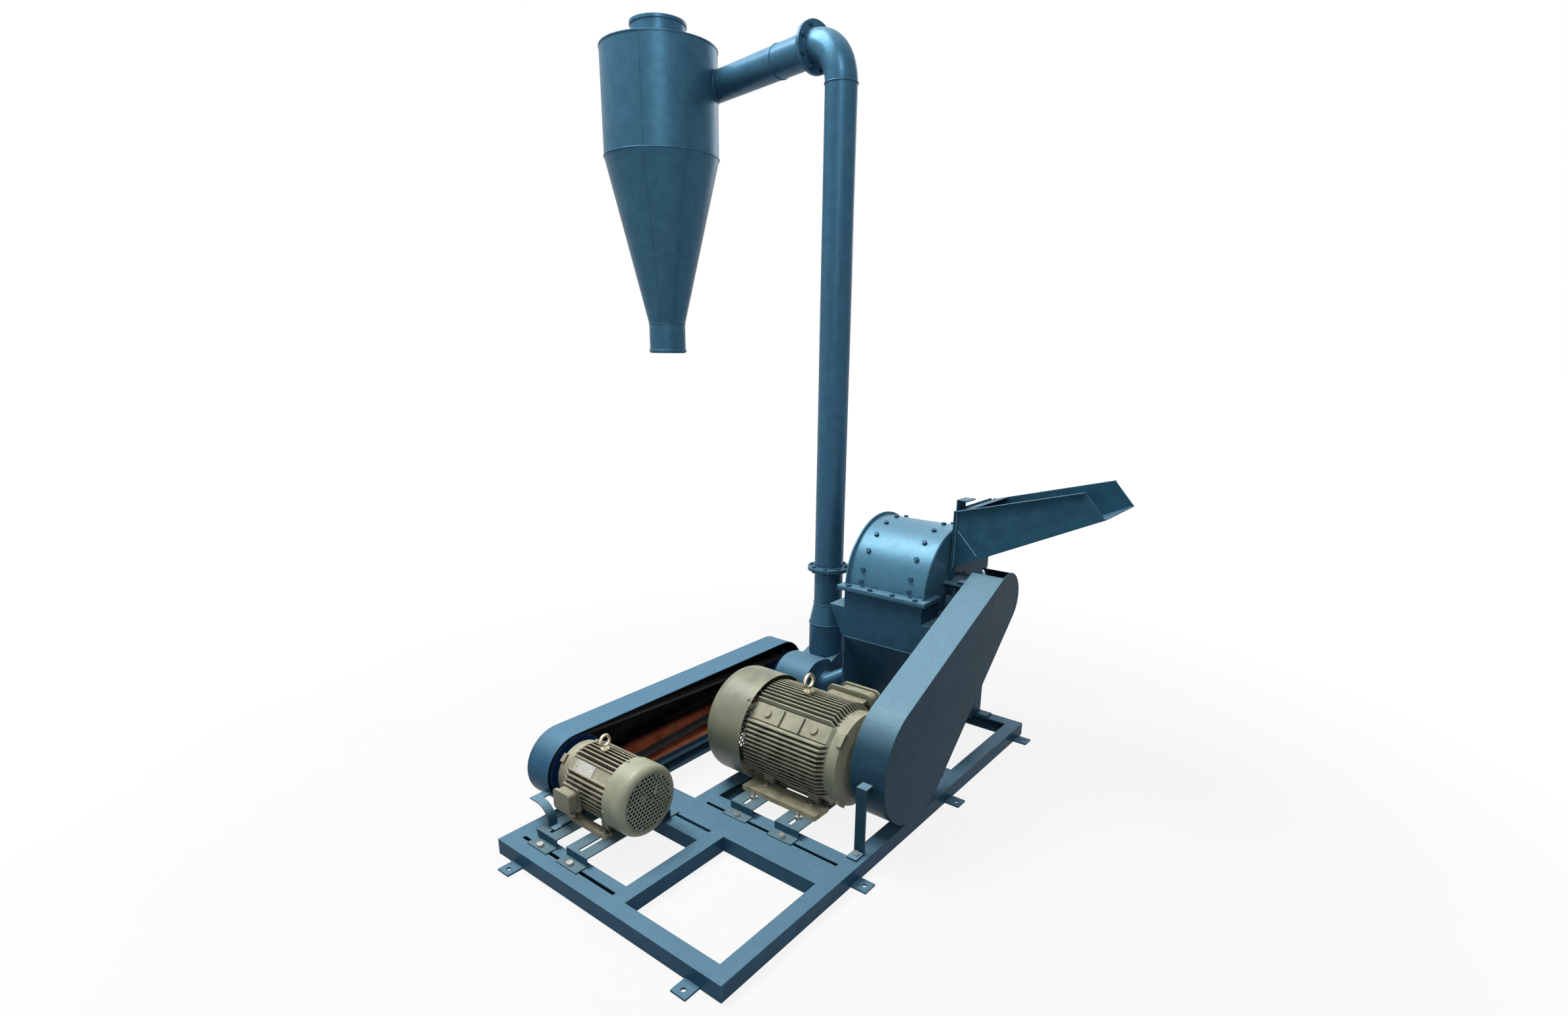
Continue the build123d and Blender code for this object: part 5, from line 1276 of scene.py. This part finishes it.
@dataclass
class Drives:
    """Motors, pulleys, belts and guards."""

    guard_low: tuple[float, float] = (866.0, 225.0)
    guard_low_radius: float = 203.0
    guard_high: tuple[float, float] = (1428.0, 597.0)
    guard_high_radius: float = 96.0
    guard_x: float = 936.0
    blower_ends: tuple[float, float] = (268.0, 1310.0)
    blower_z: float = 142.0
    blower_radius: float = 116.0
    blower_back: float = -52.0
    sunk: float = 1.2
    bead: float = 1.9

    def guard_seam(self) -> None:
        """A ground weld along the corner where each guard's rim meets its plate."""
        low, high = ((y, self.blower_z) for y in self.blower_ends)
        seams = (
            ("main_guard", Paint.SHADED_GUARD, self.guard_x - self.sunk, (1100.0, 380.0), 900,
             (self.guard_low, self.guard_low_radius - self.sunk,
              self.guard_high, self.guard_high_radius - self.sunk)),
            ("blower_guard", Paint.BLOWER_GUARD, self.blower_back + self.sunk, (789.0, self.blower_z), 1100,
             (low, self.blower_radius - self.sunk, high, self.blower_radius - self.sunk)),
        )
        for guard, paint, x, middle, count, ends in seams:
            seam = Surface(f"{guard}_seam", guard)
            path = np.column_stack([np.full(count, x), loop(*ends, count)])
            seam.tube(path, self.bead, path - np.array([0.0, *middle]), sides=6, closed=True)
            seam.build(STORE.get(paint))

    def build(self) -> None:
        """Dresses both drives."""
        dress(Paint.SHADED_GUARD, "main_guard", "guard_struts")
        dress(Paint.BLOWER_GUARD, "blower_guard")
        dress(Paint.PULLEY, "main_motor_pulley", "mill_pulley", "blower_motor_pulley", "blower_pulley")
        dress(Paint.BELT, "main_belts", "blower_belts")
        dress(Paint.ZINC, "motor_bolts")
        dress(Paint.EYE, "lifting_eyes")
        for motor, cast in (("main_motor", Paint.MOTOR), ("blower_motor", Paint.SMALL_MOTOR)):
            dress(cast, f"{motor}_housing", f"{motor}_drive_shield", f"{motor}_terminal_box")
            dress(Paint.STEEL, f"{motor}_rotor", f"{motor}_stator")
            dress(Paint.FAN, f"{motor}_fan")
            dress(Paint.SLIDE, f"{motor}_slide_rails")
        self.guard_seam()
        FanCowl(
            "main_motor", Paint.MAIN_COWL, middle=(795.0, 807.0, 190.0), facing=-1.0, radius=182.0, fin=168.0,
            rim=382.0, end=545.0, pitch=16.0, hole=6.2, screw_turn=130.0,
        ).build()
        FanCowl(
            "blower_motor", Paint.COWL, middle=(49.0, 273.0, 142.0), facing=1.0, radius=111.0, fin=106.0,
            rim=244.0, end=328.0, pitch=13.0, hole=5.0, screw_turn=95.0,
        ).build()
        RatingPlate().build()


@dataclass
class Base:
    """Channel base and floor lugs."""

    def build(self) -> None:
        """Dresses the base."""
        dress(Paint.BASE, "base_rails", "inner_rails", "small_motor_crossbars", "main_motor_crossbars",
              "floor_lugs")


# ---------------------------------------------------------------- studio


@dataclass(frozen=True)
class Lamp:
    """A soft square lamp that looks from one point at another, in row metres, with its power in watts."""

    name: str
    place: Colour
    aim: Colour
    size: float
    power: float
    tint: Colour

    def build(self) -> None:
        """Hangs the lamp."""
        data = bpy.data.lights.new(self.name, "AREA")
        data.shape = "SQUARE"
        data.size = self.size
        data.energy = self.power
        data.color = self.tint
        thing = bpy.data.objects.new(self.name, data)
        bpy.context.scene.collection.objects.link(thing)
        thing.location = self.place
        look = Vector(self.aim) - Vector(self.place)
        thing.rotation_euler = look.to_track_quat("-Z", "Y").to_euler()


@dataclass
class Studio:
    """Camera, lamps, floor and world."""

    eye: tuple[float, float, float] = (1961.0, -1095.0, 1432.0)
    turn: tuple[float, float, float] = (1.7784, 0.629, -0.4552)
    focal: float = 1209.99
    middle: tuple[float, float] = (1192.30, 885.31)
    image: tuple[float, float] = (2380.0, 1542.0)
    sensor: float = 36.0
    sky: float = 0.20
    lamps: tuple[Lamp, ...] = (
        Lamp("key", (-2.0, -0.5, 5.1), (0.0, 0.2, 0.5), 2.4, 370.0, (1.0, 0.98, 0.94)),
        Lamp("front", (3.4, -4.5, 3.6), (-0.3, 0.3, 1.4), 2.8, 60.0, (0.95, 0.98, 1.0)),
        Lamp("upper", (1.3, -1.7, 4.4), (-0.6, 0.6, 2.8), 0.7, 60.0, (1.0, 0.99, 0.96)),
        Lamp("rear", (-1.2, 5.2, 3.4), (-0.3, 0.2, 1.2), 2.4, 60.0, (0.96, 0.98, 1.0)),
    )

    def camera(self) -> None:
        """A pinhole camera whose axes come from a rotation vector, by Rodrigues' formula."""
        w = np.array(self.turn)
        angle = float(np.linalg.norm(w))
        k = w / angle
        cross = np.array([[0.0, -k[2], k[1]], [k[2], 0.0, -k[0]], [-k[1], k[0], 0.0]])
        spin = np.eye(3) + np.sin(angle) * cross + (1 - np.cos(angle)) * cross @ cross
        data = bpy.data.cameras.new("camera")
        data.sensor_width = self.sensor
        data.lens = self.sensor * self.focal / self.image[0]
        data.shift_x = (self.image[0] / 2 - self.middle[0]) / self.image[0]
        data.shift_y = (self.middle[1] - self.image[1] / 2) / self.image[0]
        data.clip_end = 100.0
        thing = bpy.data.objects.new("camera", data)
        bpy.context.scene.collection.objects.link(thing)
        place = np.eye(4)
        place[:3, 0], place[:3, 1], place[:3, 2] = spin[0], -spin[1], -spin[2]
        place[:3, 3] = row(np.array(self.eye))
        thing.matrix_world = Matrix(place.tolist())
        bpy.context.scene.camera = thing

    def white_to_camera(self, tree: bpy.types.NodeTree) -> Socket:
        """Share of rays that see the pale background: camera, mirror and glass rays.

        Args:
            tree: The node tree that the share is used in.

        Returns:
            1 for those rays and 0 for others.
        """
        rays = tree.nodes.new("ShaderNodeLightPath")
        share = rays.outputs["Is Camera Ray"]
        for other in ("Is Glossy Ray", "Is Transmission Ray"):
            step = tree.nodes.new("ShaderNodeMath")
            step.operation = "MAXIMUM"
            tree.links.new(share, step.inputs[0])
            tree.links.new(rays.outputs[other], step.inputs[1])
            share = step.outputs[0]
        return share

    def world(self) -> None:
        """A white background over a dimmer sky that lights the set from above."""
        world = bpy.data.worlds.new("studio")
        bpy.context.scene.world = world
        world.use_nodes = True
        tree = world.node_tree
        tree.nodes.clear()
        output = tree.nodes.new("ShaderNodeOutputWorld")
        mix = tree.nodes.new("ShaderNodeMixShader")
        sky = tree.nodes.new("ShaderNodeBackground")
        sky.inputs[0].default_value = (0.80, 0.90, 1.0, 1.0)
        sky.inputs[1].default_value = self.sky
        white = tree.nodes.new("ShaderNodeBackground")
        white.inputs[0].default_value = (1.0, 1.0, 1.0, 1.0)
        white.inputs[1].default_value = 1.0
        tree.links.new(self.white_to_camera(tree), mix.inputs[0])
        tree.links.new(sky.outputs[0], mix.inputs[1])
        tree.links.new(white.outputs[0], mix.inputs[2])
        tree.links.new(mix.outputs[0], output.inputs[0])

    def floor(self) -> None:
        """A pale floor that is nearly white to the camera and still takes the set's shadow."""
        mesh = bpy.data.meshes.new("floor")
        edge, low = 60.0, -0.0005
        corners = [(-edge, -edge, low), (edge, -edge, low), (edge, edge, low), (-edge, edge, low)]
        mesh.from_pydata(corners, [], [(0, 1, 2, 3)])
        thing = bpy.data.objects.new("floor", mesh)
        bpy.context.scene.collection.objects.link(thing)
        s = Shade("pale floor")
        tone = s.mix(s.ramp(s.noise(1.5, 3.0), 0.3, 0.7), (0.30, 0.30, 0.30), (0.32, 0.32, 0.32))
        s.feed(s.bsdf.inputs["Base Color"], tone)
        matt, brightness = 0.85, 1.06
        s.bsdf.inputs["Roughness"].default_value = matt
        glow = s.node("ShaderNodeEmission")
        glow.inputs["Strength"].default_value = brightness
        mix = s.node("ShaderNodeMixShader")
        reach = s.node("ShaderNodeVectorMath")
        reach.operation = "LENGTH"
        s.tree.links.new(s.place, reach.inputs[0])
        near, open_floor, shadow_share = 1.2, 4.0, 0.18
        far = s.ramp(reach.outputs["Value"], near, open_floor)
        share = s.calc("ADD", s.calc("MULTIPLY", far, shadow_share), 1.0 - shadow_share)
        share = s.calc("MULTIPLY", self.white_to_camera(s.tree), share)
        s.tree.links.new(share, mix.inputs[0])
        s.tree.links.new(s.bsdf.outputs[0], mix.inputs[1])
        s.tree.links.new(glow.outputs[0], mix.inputs[2])
        output = next(n for n in s.tree.nodes if n.type == "OUTPUT_MATERIAL")
        s.tree.links.new(mix.outputs[0], output.inputs[0])
        mesh.materials.append(s.material)

    def build(self) -> None:
        """Sets the camera, the lamps, the floor and the world."""
        self.camera()
        for lamp in self.lamps:
            lamp.build()
        self.floor()
        self.world()
        bpy.context.scene.view_settings.view_transform = "Standard"


def main() -> None:
    """Builds the studio and every sub-assembly."""
    logging.basicConfig(level=logging.INFO, format="%(name)s: %(message)s")
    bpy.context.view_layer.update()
    for part in (Studio(), AirPath(), Mill(), Drives(), Base()):
        part.build()
        LOG.info("built %s", type(part).__name__)


if __name__ == "__main__":
    main()
